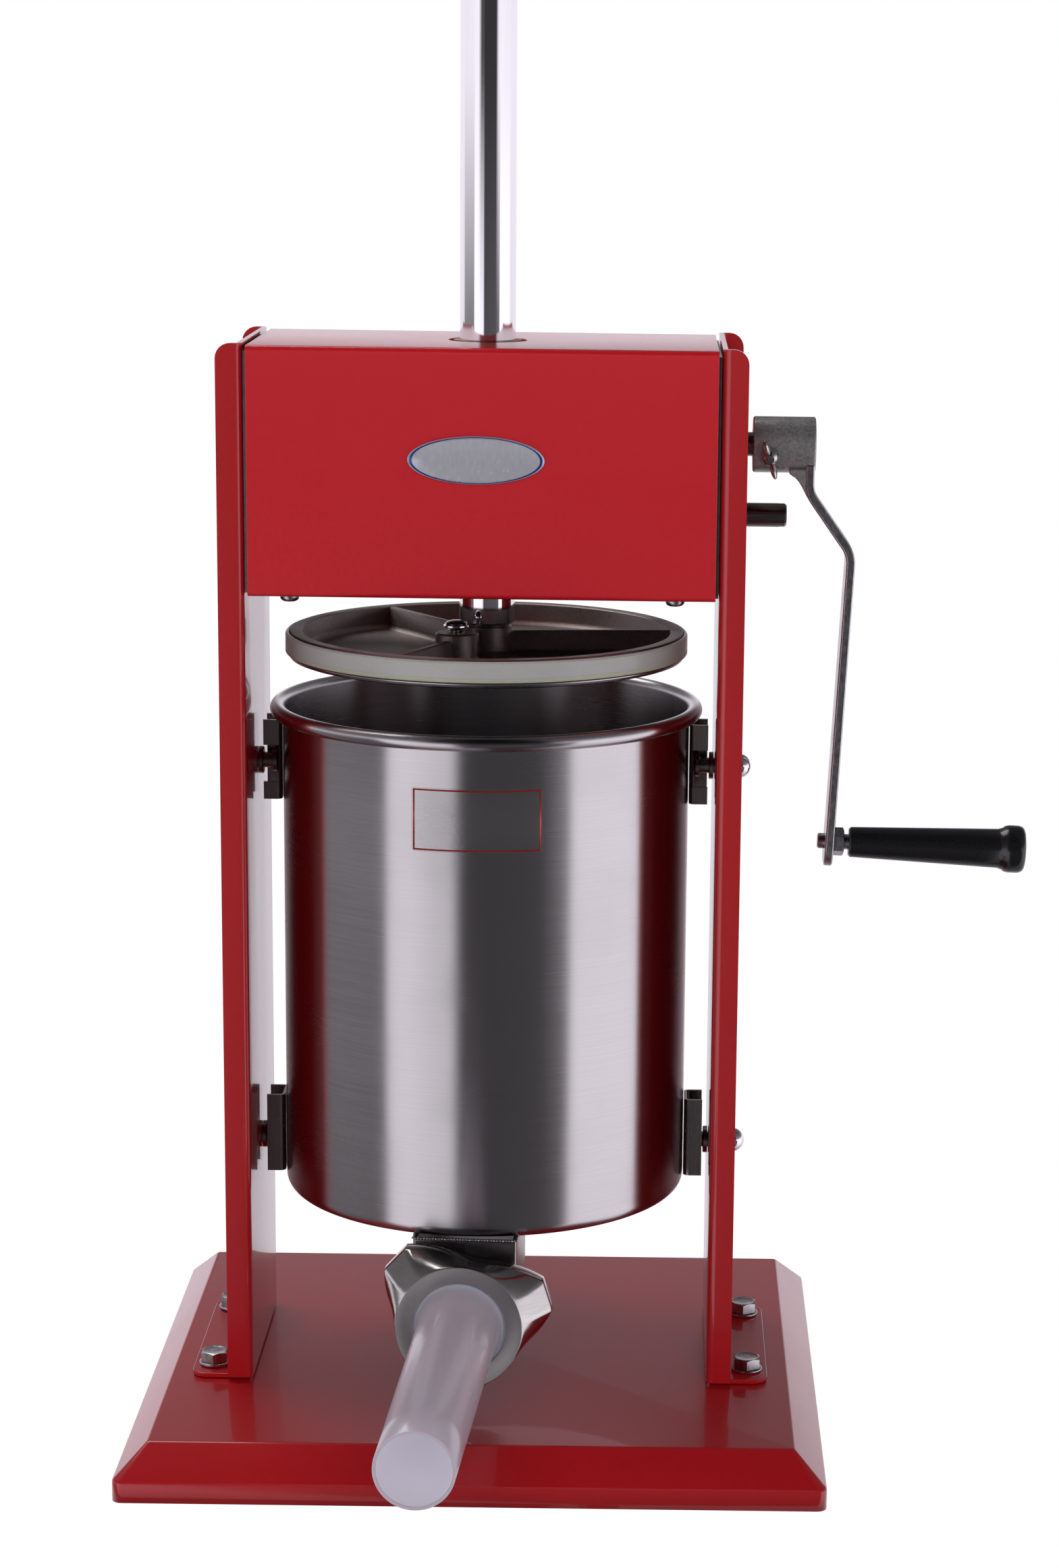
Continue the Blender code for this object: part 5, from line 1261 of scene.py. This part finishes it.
# ---------------------------------------------------------------- piston
@dataclass
class Piston:
    """The ribbed casting with its seal band, bolt and air valve."""

    shop: Workshop
    bottom: float = above(395)
    height: float = 14 * MM
    radius: float = 100.3 * MM
    rim: float = 7.2 * MM
    floor: float = 2.4 * MM
    lip: float = 2.8 * MM
    band_radius: float = 102.0 * MM
    band_wall: float = 1.9 * MM
    rib_width: float = 5.0 * MM
    rib_angles: tuple[int, ...] = (5, 125, 245)
    hub_top: float = 16.7 * MM
    valve_out: float = 32 * MM
    valve_angle: float = math.radians(244)

    def build(self) -> None:
        """Make all pieces of the piston."""
        self.casting()
        self.band()
        self.valve()
        self.shop.dress(SHEET, "piston_bolt", "valve_spring")

    def casting(self) -> None:
        """The disc, rim, hub, valve boss and ribs, with cast fillets at their feet."""
        up, seat = Matrix.Translation((0, 0, self.bottom)), self.band_radius - self.band_wall - 0.3 * MM
        rim_in = self.radius - self.rim
        top = self.height
        section = [(9 * MM, 0.0), (self.radius - 2.6 * MM, 0.0), (self.radius - 0.8 * MM, 0.7 * MM),
                   (self.radius, self.lip - 0.8 * MM), (self.radius - 0.4 * MM, self.lip), (seat, self.lip),
                   (seat, top - 0.5 * MM), (seat - 0.6 * MM, top), (rim_in + 1.0 * MM, top),
                   (rim_in + 0.2 * MM, top - 0.5 * MM), (rim_in - 0.6 * MM, self.floor + 3.4 * MM),
                   (rim_in - 1.4 * MM, self.floor + 1.4 * MM), (rim_in - 3.4 * MM, self.floor + 0.2 * MM),
                   (rim_in - 6 * MM, self.floor), (9 * MM, self.floor)]
        disc = lathe(section, FINE, closed=True)
        hub = self.boss(12.5 * MM, 5.4 * MM, Vector((0, 0)))
        spot = Vector((self.valve_out * math.cos(self.valve_angle), self.valve_out * math.sin(self.valve_angle)))
        boss = self.boss(10.4 * MM, 2.9 * MM, spot)
        shapes = [disc, hub, boss]
        for angle in self.rib_angles:
            shapes.append(moved(self.rib(rim_in + 2 * MM), Matrix.Rotation(math.radians(angle), 4, "Z")))
        for turn in (20, 48):
            tab = box((9.4 * MM, -1.6 * MM, self.hub_top - 5.2 * MM), (11.4 * MM, 1.6 * MM, self.hub_top - 0.4 * MM),
                      0.5 * MM)
            aside = Matrix.Translation((spot.x, spot.y, 0))
            shapes.append(moved(tab, aside @ Matrix.Rotation(math.radians(turn), 4, "Z")))
        self.shop.piece("piston_casting", joined(shapes), ALUMINIUM, "rod_and_piston", ["piston"], place=up, sharp=38)
        lip = lathe([(seat, self.lip + 0.02 * MM), (self.radius + 0.04 * MM, self.lip - 0.6 * MM),
                     (self.radius + 0.04 * MM, self.lip - 1.0 * MM), (self.radius - 0.7 * MM, 0.66 * MM),
                     (self.radius - 2.6 * MM, -0.04 * MM), (self.radius - 9 * MM, -0.04 * MM),
                     (self.radius - 9 * MM, 0.3 * MM)], FINE, closed=True)
        self.shop.piece("piston_turned_lip", lip, MACHINED, "rod_and_piston", place=up, sharp=30)

    def boss(self, radius: float, bore: float, spot: Vector) -> bmesh.types.BMesh:
        """A round boss with a fillet at its foot and a hole down its middle.

        Args:
            radius: its outer radius.
            bore: the hole's radius.
            spot: where it stands on the disc.
        Returns:
            The boss.
        """
        foot = self.floor - 0.6 * MM
        profile = [(radius + 3.4 * MM, foot), (radius + 3.2 * MM, self.floor + 0.1 * MM),
                   (radius + 1.3 * MM, self.floor + 0.9 * MM), (radius + 0.3 * MM, self.floor + 2.6 * MM),
                   (radius, self.hub_top - 0.8 * MM), (radius - 0.7 * MM, self.hub_top), (bore, self.hub_top),
                   (bore, foot)]
        return moved(lathe(profile, closed=True), Matrix.Translation((spot.x, spot.y, 0)))

    def rib(self, length: float) -> bmesh.types.BMesh:
        """A rib along +X with tapered sides, a rounded top and fillets at its foot.

        Args:
            length: how far out it reaches.
        Returns:
            The rib.
        """
        half, foot, top = self.rib_width / 2, self.floor - 0.6 * MM, self.height - 0.4 * MM
        side = [(half + 3.2 * MM, foot), (half + 3.0 * MM, self.floor + 0.1 * MM),
                (half + 1.4 * MM, self.floor + 0.8 * MM), (half + 0.5 * MM, self.floor + 2.4 * MM),
                (half - 0.5 * MM, top - 1.0 * MM), (half - 1.3 * MM, top)]
        outline = side + [(-y, z) for y, z in reversed(side)]
        return loft([[Vector((x, y, z)) for y, z in outline] for x in (6 * MM, length / 2, length)])

    def band(self) -> None:
        """The soft band round the rim."""
        low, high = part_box("piston_seal")
        inner, outer = self.band_radius - self.band_wall, (high.x - low.x) / 2
        section = rounded([(inner, low.z + 2 * MM), (inner, low.z), (outer - 0.35 * MM, low.z),
                           (outer, low.z + 3 * MM), (outer, high.z - 1 * MM), (outer - 0.9 * MM, high.z),
                           (inner, high.z), (inner, high.z - 2 * MM)], 0.5 * MM, 3)
        self.shop.piece("soft_seal_band", lathe(section, FINE, closed=True), BAND, "rod_and_piston", ["piston_seal"],
                        sharp=50)

        edge = [(outer - 0.3 * MM, low.z + 0.02 * MM), (outer + 0.01 * MM, low.z + 0.5 * MM),
                (outer + 0.03 * MM, low.z + 2.0 * MM), (outer - 0.4 * MM, low.z + 2.0 * MM)]
        self.shop.piece("seal_band_edge", lathe(edge, FINE, closed=True), BAND_EDGE, "rod_and_piston", sharp=50)

    def valve(self) -> None:
        """The valve stem: a domed head on a washer above, a disc below."""
        low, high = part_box("valve_stem")
        x, y = (low.x + high.x) / 2, (low.y + high.y) / 2
        top = high.z
        rim = top - 3.34 * MM
        dome = 5.6 * MM
        profile = [(0.0, low.z), (6.5 * MM, low.z), (7.5 * MM, low.z + 0.4 * MM), (7.5 * MM, low.z + 2 * MM),
                   (2.4 * MM, low.z + 2 * MM), (2.4 * MM, rim), (dome + 0.8 * MM, rim),
                   (dome + 0.9 * MM, rim + 0.2 * MM),
                   (dome + 0.8 * MM, rim + 0.85 * MM), (dome * 0.94, rim + 0.9 * MM), (dome, rim + 1.4 * MM)]
        rise = top - rim - 1.4 * MM
        profile += [(dome * math.cos(a), rim + 1.4 * MM + rise * math.sin(a))
                    for a in (math.radians(90) * k / 8 for k in range(1, 9))]
        self.shop.piece("valve_dome", lathe(profile, 64), CHROME, "air_valve", ["valve_stem"],
                        place=Matrix.Translation((x, y, 0)), sharp=35)


# ---------------------------------------------------------------- canister and outlet
@dataclass
class Canister:
    """The canister with its rolled rim, hooks, label and outlet elbow."""

    shop: Workshop
    radius: float = 103.5 * MM
    wall: float = 1.0 * MM
    low: float = above(118)
    top: float = above(373)
    corner: float = 6 * MM
    bead: float = 3.8 * MM
    outlet_hole: tuple[float, float, float] = (17 * MM, 59 * MM, 97 * MM)

    def build(self) -> None:
        """Make the canister's pieces."""
        self.vessel()
        self.label()
        self.elbow()
        self.weld()
        self.shop.dress(SHEET, *(n for n in self.shop.nodes if n.startswith("hook_")))

    def vessel(self) -> None:
        """The spun sheet: floor, rounded corner, wall and outward rolled rim."""
        inner, c = self.radius - self.wall, self.corner - self.wall
        profile = [(0.0, self.low + self.wall), (60 * MM, self.low + self.wall)]
        profile += [(inner - c + c * math.sin(a), self.low + self.wall + c - c * math.cos(a))
                    for a in (math.pi / 2 * k / 8 for k in range(9))]
        profile += [(inner, self.low + 80 * MM), (inner, self.top - 40 * MM)]
        middle = (inner + self.bead, self.top - self.bead)
        profile += [(middle[0] - self.bead * math.cos(a), middle[1] + self.bead * math.sin(a))
                    for a in (math.radians(255) * k / 24 for k in range(25))]
        bm = lathe(profile, 192)
        openings = [f for f in bm.faces if len(f.verts) > 60]
        bmesh.ops.delete(bm, geom=openings, context="FACES_ONLY")
        half, near, far = self.outlet_hole
        hole = box((-half, near, -9 * MM), (half, far, 9 * MM))
        turn = Axis.OUTLET.matrix()
        along = Matrix.Rotation(math.atan2(turn[1][2], turn[0][2]) - math.pi / 2, 4, "Z")
        moved(hole, Matrix.Translation((0, 0, self.low)) @ along)
        self.shop.piece("canister_vessel", bm, BRUSHED, "canister", ["canister"], wall=self.wall, offset=-1.0,
                        sharp=35, holes=[hole])

    def label(self) -> None:
        """The blank sticker on the canister's front."""
        (x0, z0), (x1, z1) = LABEL.low, LABEL.high
        r = self.radius + 0.12 * MM
        angle = 2 * math.asin(x1 / r)
        bm, edges = wire(((x0, -math.sqrt(r * r - x0 * x0), z0), (x0, -math.sqrt(r * r - x0 * x0), z1)))
        bmesh.ops.spin(bm, geom=bm.verts[:] + edges, cent=(0, 0, 0), axis=(0, 0, 1), dvec=(0, 0, 0), angle=angle,
                       steps=32, use_merge=False, use_duplicate=False)
        bmesh.ops.recalc_face_normals(bm, faces=bm.faces[:])
        corners = [v for v in bm.verts if len(v.link_edges) == 2]
        bmesh.ops.bevel(bm, geom=corners, offset=1.5 * MM, offset_type="OFFSET", segments=5, profile=0.5,
                        affect="VERTICES", clamp_overlap=False, material=-1)
        self.shop.piece("plain_label", bm, LABEL, "canister", wall=0.08 * MM, offset=1.0, sharp=60)

    def elbow(self) -> None:
        """The outlet: a box with a round bottom under the canister, with a short nozzle."""
        half, front, back, top = 25.9 * MM, 103 * MM, 52 * MM, 36.2 * MM

        def outline(inset: float, distance: float, height: float) -> list[Vector]:
            """A section of the box, square to the outlet.

            Args:
                inset: how far its round bottom and sides are drawn in.
                distance: where it lies along the outlet.
                height: height of its flat top.
            Returns:
                The points.
            """
            reach = half - inset
            points = [Vector((reach * math.cos(a), reach * math.sin(a), distance))
                      for a in (math.pi + math.pi * k / 32 for k in range(33))]
            return points + [Vector((reach, height, distance)), Vector((-reach, height, distance))]
        body = loft([outline(0, back, top), outline(0, front, top)])
        rim = [e for e in body.edges if all(abs(v.co.z - front) < 1e-6 for v in e.verts)
               or all(abs(v.co.z - back) < 1e-6 for v in e.verts)]
        bmesh.ops.bevel(body, geom=rim, offset=1.6 * MM, offset_type="OFFSET", segments=4, profile=0.5,
                        affect="EDGES", clamp_overlap=True, material=-1)
        cavity = loft([outline(2 * MM, back + 2 * MM, top + 9 * MM), outline(2 * MM, front - 2 * MM, top + 9 * MM)])
        bore = lathe([(20 * MM, front - 10 * MM), (20 * MM, 130 * MM)])
        nozzle = lathe([(20 * MM, front - 1 * MM), (24.5 * MM, front - 1 * MM), (24.5 * MM, 122 * MM),
                        (23.5 * MM, 123 * MM), (20 * MM, 123 * MM)], closed=True)
        frame = Axis.OUTLET.matrix()
        self.shop.piece("outlet_elbow", body, SHEET, "canister", ["spout"], place=frame, sharp=35,
                        holes=[moved(cavity, frame), moved(bore, frame)])
        self.shop.piece("outlet_nozzle", nozzle, SHEET, "canister", ["spout"], place=frame, sharp=30)
        self.shop.dress(BAND, "tube_gasket")

    def weld(self) -> None:
        """The bead of small weld spots where the elbow meets the canister's floor."""
        frame = Axis.OUTLET.matrix()
        spots = []
        for k in range(33):
            x = (-24.5 + 49 * k / 32) * MM
            spots.append(((x, 36.0 * MM, 102.6 * MM), 1.0 + 0.25 * math.sin(2.3 * k)))
        for k in range(1, 28):
            for side in (-1, 1):
                spots.append(((side * 25.6 * MM, 36.0 * MM, (103 - 1.8 * k) * MM), 1.0 + 0.2 * math.sin(1.9 * k)))
        drops = []
        for (x, y, z), size in spots:
            drop = bmesh.new()
            bmesh.ops.create_icosphere(drop, subdivisions=1, radius=1.15 * MM * size)
            bmesh.ops.scale(drop, vec=(1.0, 0.62, 0.8), verts=drop.verts[:])
            drops.append(moved(drop, frame @ Matrix.Translation((x, y, z))))
        self.shop.piece("weld_bead", joined(drops), POLISHED, "canister", sharp=80)


@dataclass
class Outlet:
    """The lobed ring nut and the stuffing tube."""

    shop: Workshop
    front: float = 132 * MM
    back: float = 106 * MM
    hole: float = 22.9 * MM
    face: float = 31.5 * MM
    lobe: float = 45.5 * MM
    waist: float = 30 * MM
    phase: float = 17.6              # where the first lobe stands, in degrees
    flat: float = 10                 # half the angle that a lobe's flat end takes, in degrees
    hollow: float = 1.7              # how fast the flanks fall away from a lobe
    count: int = 144

    def build(self) -> None:
        """Make both."""
        self.ring_nut()
        self.tube()

    def lobed(self, lobe: float, waist: float, height: float) -> list[Vector]:
        """Outline with three lobes that have flat ends and hollow flanks.

        Args:
            lobe: distance of the lobes' flat ends.
            waist: least radius between them.
            height: height of the outline.
        Returns:
            The outline's points.
        """
        points = []
        for k in range(self.count):
            angle = 2 * math.pi * k / self.count
            off = (math.degrees(angle) - self.phase + 60) % 120 - 60
            end = lobe * math.cos(math.radians(self.flat)) / math.cos(math.radians(off))
            spread = max(0.0, (abs(off) - self.flat) / (60 - self.flat))
            flank = waist + (lobe - waist) * (1 - spread) ** self.hollow
            reach = end if abs(off) <= self.flat else flank
            points.append(Vector((reach * math.cos(angle), reach * math.sin(angle), height)))
        return points

    def ring_nut(self) -> None:
        """The polished cast nut, skinned from its rear bore round its outside to its front hole."""
        n, f, b = self.count, self.front, self.back
        bore, inner = 25.1 * MM, self.front - 4 * MM
        face = self.face
        sections = [round_outline(bore, b, n), self.lobed(self.lobe - 7 * MM, self.waist - 2.5 * MM, b),
                    self.lobed(self.lobe - 2.2 * MM, self.waist - 0.8 * MM, b + 1.4 * MM),
                    self.lobed(self.lobe - 0.5 * MM, self.waist, b + 4 * MM),
                    self.lobed(self.lobe, self.waist + 0.1 * MM, b + 5 * MM),
                    self.lobed(self.lobe, self.waist + 0.3 * MM, b + 12.4 * MM),
                    self.lobed(self.lobe - 0.7 * MM, self.waist + 0.3 * MM, b + 13.4 * MM),
                    self.lobed(self.lobe - 5 * MM, face - 0.6 * MM, f - 7.6 * MM),
                    self.lobed(self.lobe - 9 * MM, face - 0.2 * MM, f - 3.6 * MM),
                    self.lobed(face + 1.2 * MM, face + 0.1 * MM, f - 1.0 * MM),
                    round_outline(face, f - 0.25 * MM, n), round_outline(face - 0.4 * MM, f, n),
                    round_outline(self.hole + 0.5 * MM, f, n), round_outline(self.hole, f - 0.5 * MM, n),
                    round_outline(self.hole, inner, n), round_outline(bore, inner, n), round_outline(bore, b, n)]
        self.shop.piece("lobed_ring_nut", loft(sections, closed=True), POLISHED, "ring_nut", ["ring_nut"],
                        place=Axis.OUTLET.matrix(), sharp=36)

        ring = [(self.hole + 0.3 * MM, f - 0.2 * MM), (self.hole + 0.6 * MM, f + 0.03 * MM),
                (face - 0.35 * MM, f + 0.03 * MM), (face - 0.1 * MM, f - 0.2 * MM)]
        self.shop.piece("ring_nut_face", lathe(ring, n, closed=True), FACED, "ring_nut", place=Axis.OUTLET.matrix(),
                        sharp=40)

    def tube(self) -> None:
        """The milky tube: flange, domed root and a long slightly tapered barrel."""
        flange_front = self.front - 4.3 * MM
        flange_back, end = flange_front - 2.6 * MM, 316 * MM
        root, tip, wall, dome = 20 * MM, 18.75 * MM, 1.5 * MM, self.hole - 0.6 * MM
        profile = [(19 * MM, flange_back), (24 * MM, flange_back), (24 * MM, flange_front), (dome, flange_front),
                   (dome, flange_front + 1.5 * MM)]
        profile += [(root + (dome - root) * (1 - math.sin(a)), flange_front + 2 * MM + 9 * MM * (1 - math.cos(a)))
                    for a in (math.radians(9 * k) for k in range(1, 11))]
        profile += [(tip + (root - tip) * k / 6, end + (flange_front + 11 * MM - end) * k / 6)
                    for k in range(5, 0, -1)]
        profile += [(tip, end - 0.4 * MM), (tip - 0.3 * MM, end), (tip - wall + 0.2 * MM, end),
                    (tip - wall, end - 0.3 * MM)]
        profile += [(tip - wall + (root - tip) * k / 6, end + (flange_front + 11 * MM - end) * k / 6)
                    for k in range(1, 7)]
        # A thin glowing skin just inside the bore: painted light where the bore lies in shade.
        skin = [(tip - wall - 0.02 * MM, end - 1.2 * MM), (root - wall - 0.05 * MM, flange_front + 11 * MM),
                (root - wall - 0.07 * MM, flange_front + 11 * MM), (tip - wall - 0.04 * MM, end - 1.2 * MM)]
        self.shop.piece("tube_bore_painted_light_skin", lathe(skin, closed=True), BORE_GLOW_MILK, "stuffing_tube",
                        place=Axis.OUTLET.matrix(), sharp=60)
        self.shop.piece("milky_stuffing_tube", lathe(profile, closed=True), MILK, "stuffing_tube",
                        ["stuffing_tube"], place=Axis.OUTLET.matrix(), sharp=40)


# ---------------------------------------------------------------- studio and camera
@dataclass
class Studio:
    """Pale floor, surroundings with soft lights at both sides, softboxes and the camera."""

    eye: tuple[float, float, float] = (82.84 * MM, -1793.04 * MM, above(682.89))
    right: tuple[float, float, float] = (0.999909, -0.000654, 0.013488)
    up: tuple[float, float, float] = (-0.013035, 0.214097, 0.976725)
    spread: float = math.radians(24.844)
    shift: Point = (-0.0829, 0.0485)
    around: tuple[Point, ...] = ((-180, 1.0), (-114, 1.0), (-106, 0.22), (-57, 0.16), (-54, 1.45), (-17, 1.3),
                                 (-12, 0.09), (49, 0.12), (53, 1.5), (98, 1.5), (108, 1.0), (180, 1.0))
    around_high: tuple[Point, ...] = ((-180, 1.0), (-38, 1.15), (-26, 0.04), (34, 0.04), (44, 1.15), (180, 1.0))
    upward: tuple[Point, ...] = ((-1.0, 0.25), (-0.5, 0.8), (0.0, 1.0), (0.15, 0.9), (0.24, 0.22), (0.6, 0.12),
                                 (1.0, 0.05))
    horizon: tuple[Point, ...] = ((-0.07, 0.0), (0.0, 1.0))
    tint: tuple[float, float, float] = (0.985, 0.96, 1.0)
    strength: float = 2.0
    floor_half: float = 30.0
    floor_drop: float = 0.2 * MM
    softboxes: tuple[tuple, ...] = (
        ("top_softbox", (-0.9, 0.8, 2.0), (0.0, 0.0, 0.2), (1.4, 1.2), 16.0, True),
        ("front_fill", (0.1, -2.6, 1.3), (0.0, 0.0, 0.3), (1.8, 1.4), 36.0, False),
    )

    def build(self) -> None:
        """Set the studio up."""
        self.floor()
        self.sky()
        for name, place, target, size, power, mirrored in self.softboxes:
            self.softbox(name, place, target, size, power, mirrored)
        bpy.context.scene.view_settings.view_transform = "Standard"
        self.camera()

    def floor(self) -> None:
        """A wide pale floor, even white to the camera and not mirrored by the machine."""
        bm = bmesh.new()
        bmesh.ops.create_grid(bm, x_segments=1, y_segments=1, size=self.floor_half)
        bmesh.ops.translate(bm, vec=(0, 0, TABLE - self.floor_drop), verts=bm.verts[:])
        mesh = bpy.data.meshes.new("floor")
        bm.to_mesh(mesh)
        bm.free()
        floor = bpy.data.objects.new("floor", mesh)
        bpy.context.scene.collection.objects.link(floor)
        mat = bpy.data.materials.new("floor")
        mat.use_nodes = True
        nodes, links = mat.node_tree.nodes, mat.node_tree.links
        shader = nodes["Principled BSDF"]
        shader.inputs["Base Color"].default_value = (0.85, 0.85, 0.86, 1)
        shader.inputs["Roughness"].default_value = 0.9
        shader.inputs["Specular IOR Level"].default_value = 0.1
        seen, bright, mix = (nodes.new(kind) for kind in ("ShaderNodeLightPath", "ShaderNodeEmission",
                                                          "ShaderNodeMixShader"))
        links.new(seen.outputs["Is Camera Ray"], mix.inputs["Fac"])
        links.new(shader.outputs[0], mix.inputs[1])
        links.new(bright.outputs[0], mix.inputs[2])
        links.new(mix.outputs[0], nodes["Material Output"].inputs["Surface"])
        mesh.materials.append(mat)
        floor.visible_glossy = False

    def sky(self) -> None:
        """Surroundings: white behind the machine, tall soft lights at both sides, dark behind the camera."""
        world = bpy.data.worlds.new("studio")
        bpy.context.scene.world = world
        world.use_nodes = True
        nodes, links = world.node_tree.nodes, world.node_tree.links
        glow = nodes["Background"]
        place, split = nodes.new("ShaderNodeTexCoord"), nodes.new("ShaderNodeSeparateXYZ")
        front, turn = maths(nodes, "MULTIPLY", None, -1.0), maths(nodes, "ARCTAN2")
        links.new(place.outputs["Generated"], split.inputs[0])
        links.new(split.outputs["Y"], front.inputs[0])
        links.new(split.outputs["X"], turn.inputs[0])
        links.new(front.outputs[0], turn.inputs[1])
        ring, over = (self.ramp(nodes, links, turn.outputs[0], [(math.radians(a), v / self.strength) for a, v in stops])
                      for stops in (self.around, self.around_high))
        level = self.ramp(nodes, links, split.outputs["Z"], self.horizon)
        sides = nodes.new("ShaderNodeMix")
        sides.data_type = "RGBA"
        links.new(level, sides.inputs["Factor"])
        links.new(ring, sides.inputs["A"])
        links.new(over, sides.inputs["B"])
        ring = sides.outputs["Result"]
        rise = self.ramp(nodes, links, split.outputs["Z"], self.upward)
        both = nodes.new("ShaderNodeMix")
        both.data_type, both.blend_type = "RGBA", "MULTIPLY"
        both.inputs["Factor"].default_value = 1.0
        links.new(ring, both.inputs["A"])
        links.new(rise, both.inputs["B"])
        seen, plain = nodes.new("ShaderNodeLightPath"), nodes.new("ShaderNodeMix")
        plain.data_type = "RGBA"
        plain.inputs["B"].default_value = (0.5, 0.5, 0.5, 1)
        links.new(seen.outputs["Is Camera Ray"], plain.inputs["Factor"])
        links.new(both.outputs["Result"], plain.inputs["A"])
        links.new(plain.outputs["Result"], glow.inputs["Color"])
        glow.inputs["Strength"].default_value = self.strength

    def ramp(self, nodes: bpy.types.Nodes, links: bpy.types.NodeLinks, value: bpy.types.NodeSocket,
             stops: Sequence[Point]) -> bpy.types.NodeSocket:
        """A ramp of faintly tinted greys over any range.

        Args:
            nodes: the tree's nodes.
            links: the tree's links.
            value: what drives it.
            stops: (value, grey) pairs in rising order.
        Returns:
            The ramp's colour.
        """
        low, high = stops[0][0], stops[-1][0]
        spread, ramp = nodes.new("ShaderNodeMapRange"), nodes.new("ShaderNodeValToRGB")
        spread.inputs["From Min"].default_value, spread.inputs["From Max"].default_value = low, high
        elements = ramp.color_ramp.elements
        for k, (at, grey) in enumerate(stops):
            stop = elements[k] if k < 1 or k == len(stops) - 1 else elements.new((at - low) / (high - low))
            stop.position, stop.color = (at - low) / (high - low), (*(t * grey for t in self.tint), 1)
        links.new(value, spread.inputs["Value"])
        links.new(spread.outputs["Result"], ramp.inputs["Fac"])
        return ramp.outputs["Color"]

    @staticmethod
    def softbox(name: str, place: Sequence[float], target: Sequence[float], size: Point, power: float,
                mirrored: bool) -> None:
        """One rectangular area light.

        Args:
            name: its name.
            place: where it stands.
            target: what it points at.
            size: its width and height.
            power: watts.
            mirrored: shiny pieces show it.
        """
        lamp = bpy.data.lights.new(name, "AREA")
        lamp.shape, lamp.size, lamp.size_y, lamp.energy = "RECTANGLE", size[0], size[1], power
        light = bpy.data.objects.new(name, lamp)
        bpy.context.scene.collection.objects.link(light)
        light.location = place
        light.visible_glossy = mirrored
        light.rotation_euler = (Vector(target) - Vector(place)).to_track_quat("-Z", "Y").to_euler()

    def camera(self) -> None:
        """The camera, whose lens covers the field on the frame's long side."""
        lens = bpy.data.cameras.new("camera")
        lens.sensor_width = 36.0
        lens.lens = lens.sensor_width / 2 / math.tan(self.spread / 2)
        lens.shift_x, lens.shift_y = self.shift
        lens.clip_start, lens.clip_end = 0.05, 200.0
        camera = bpy.data.objects.new("camera", lens)
        bpy.context.scene.collection.objects.link(camera)
        right, up = Vector(self.right).normalized(), Vector(self.up).normalized()
        back = right.cross(up).normalized()
        camera.matrix_world = Matrix.Translation(self.eye) @ Matrix((right, up, back)).transposed().to_4x4()
        bpy.context.scene.camera = camera


def main() -> None:
    """Load the frame, build each sub-assembly round it and set the studio."""
    logging.basicConfig(level=logging.INFO, format="%(name)s: %(message)s")
    for old in list(bpy.data.objects):
        bpy.data.objects.remove(old)
    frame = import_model()
    shop = Workshop(frame["nodes"])
    Studio().build()
    for assembly in (RedFrame(shop), Fasteners(shop), RodAndGears(shop), Crank(shop), Piston(shop),
                     Canister(shop), Outlet(shop)):
        assembly.build()
        log.info("%s is done", type(assembly).__name__)


if __name__ == "__main__":
    main()
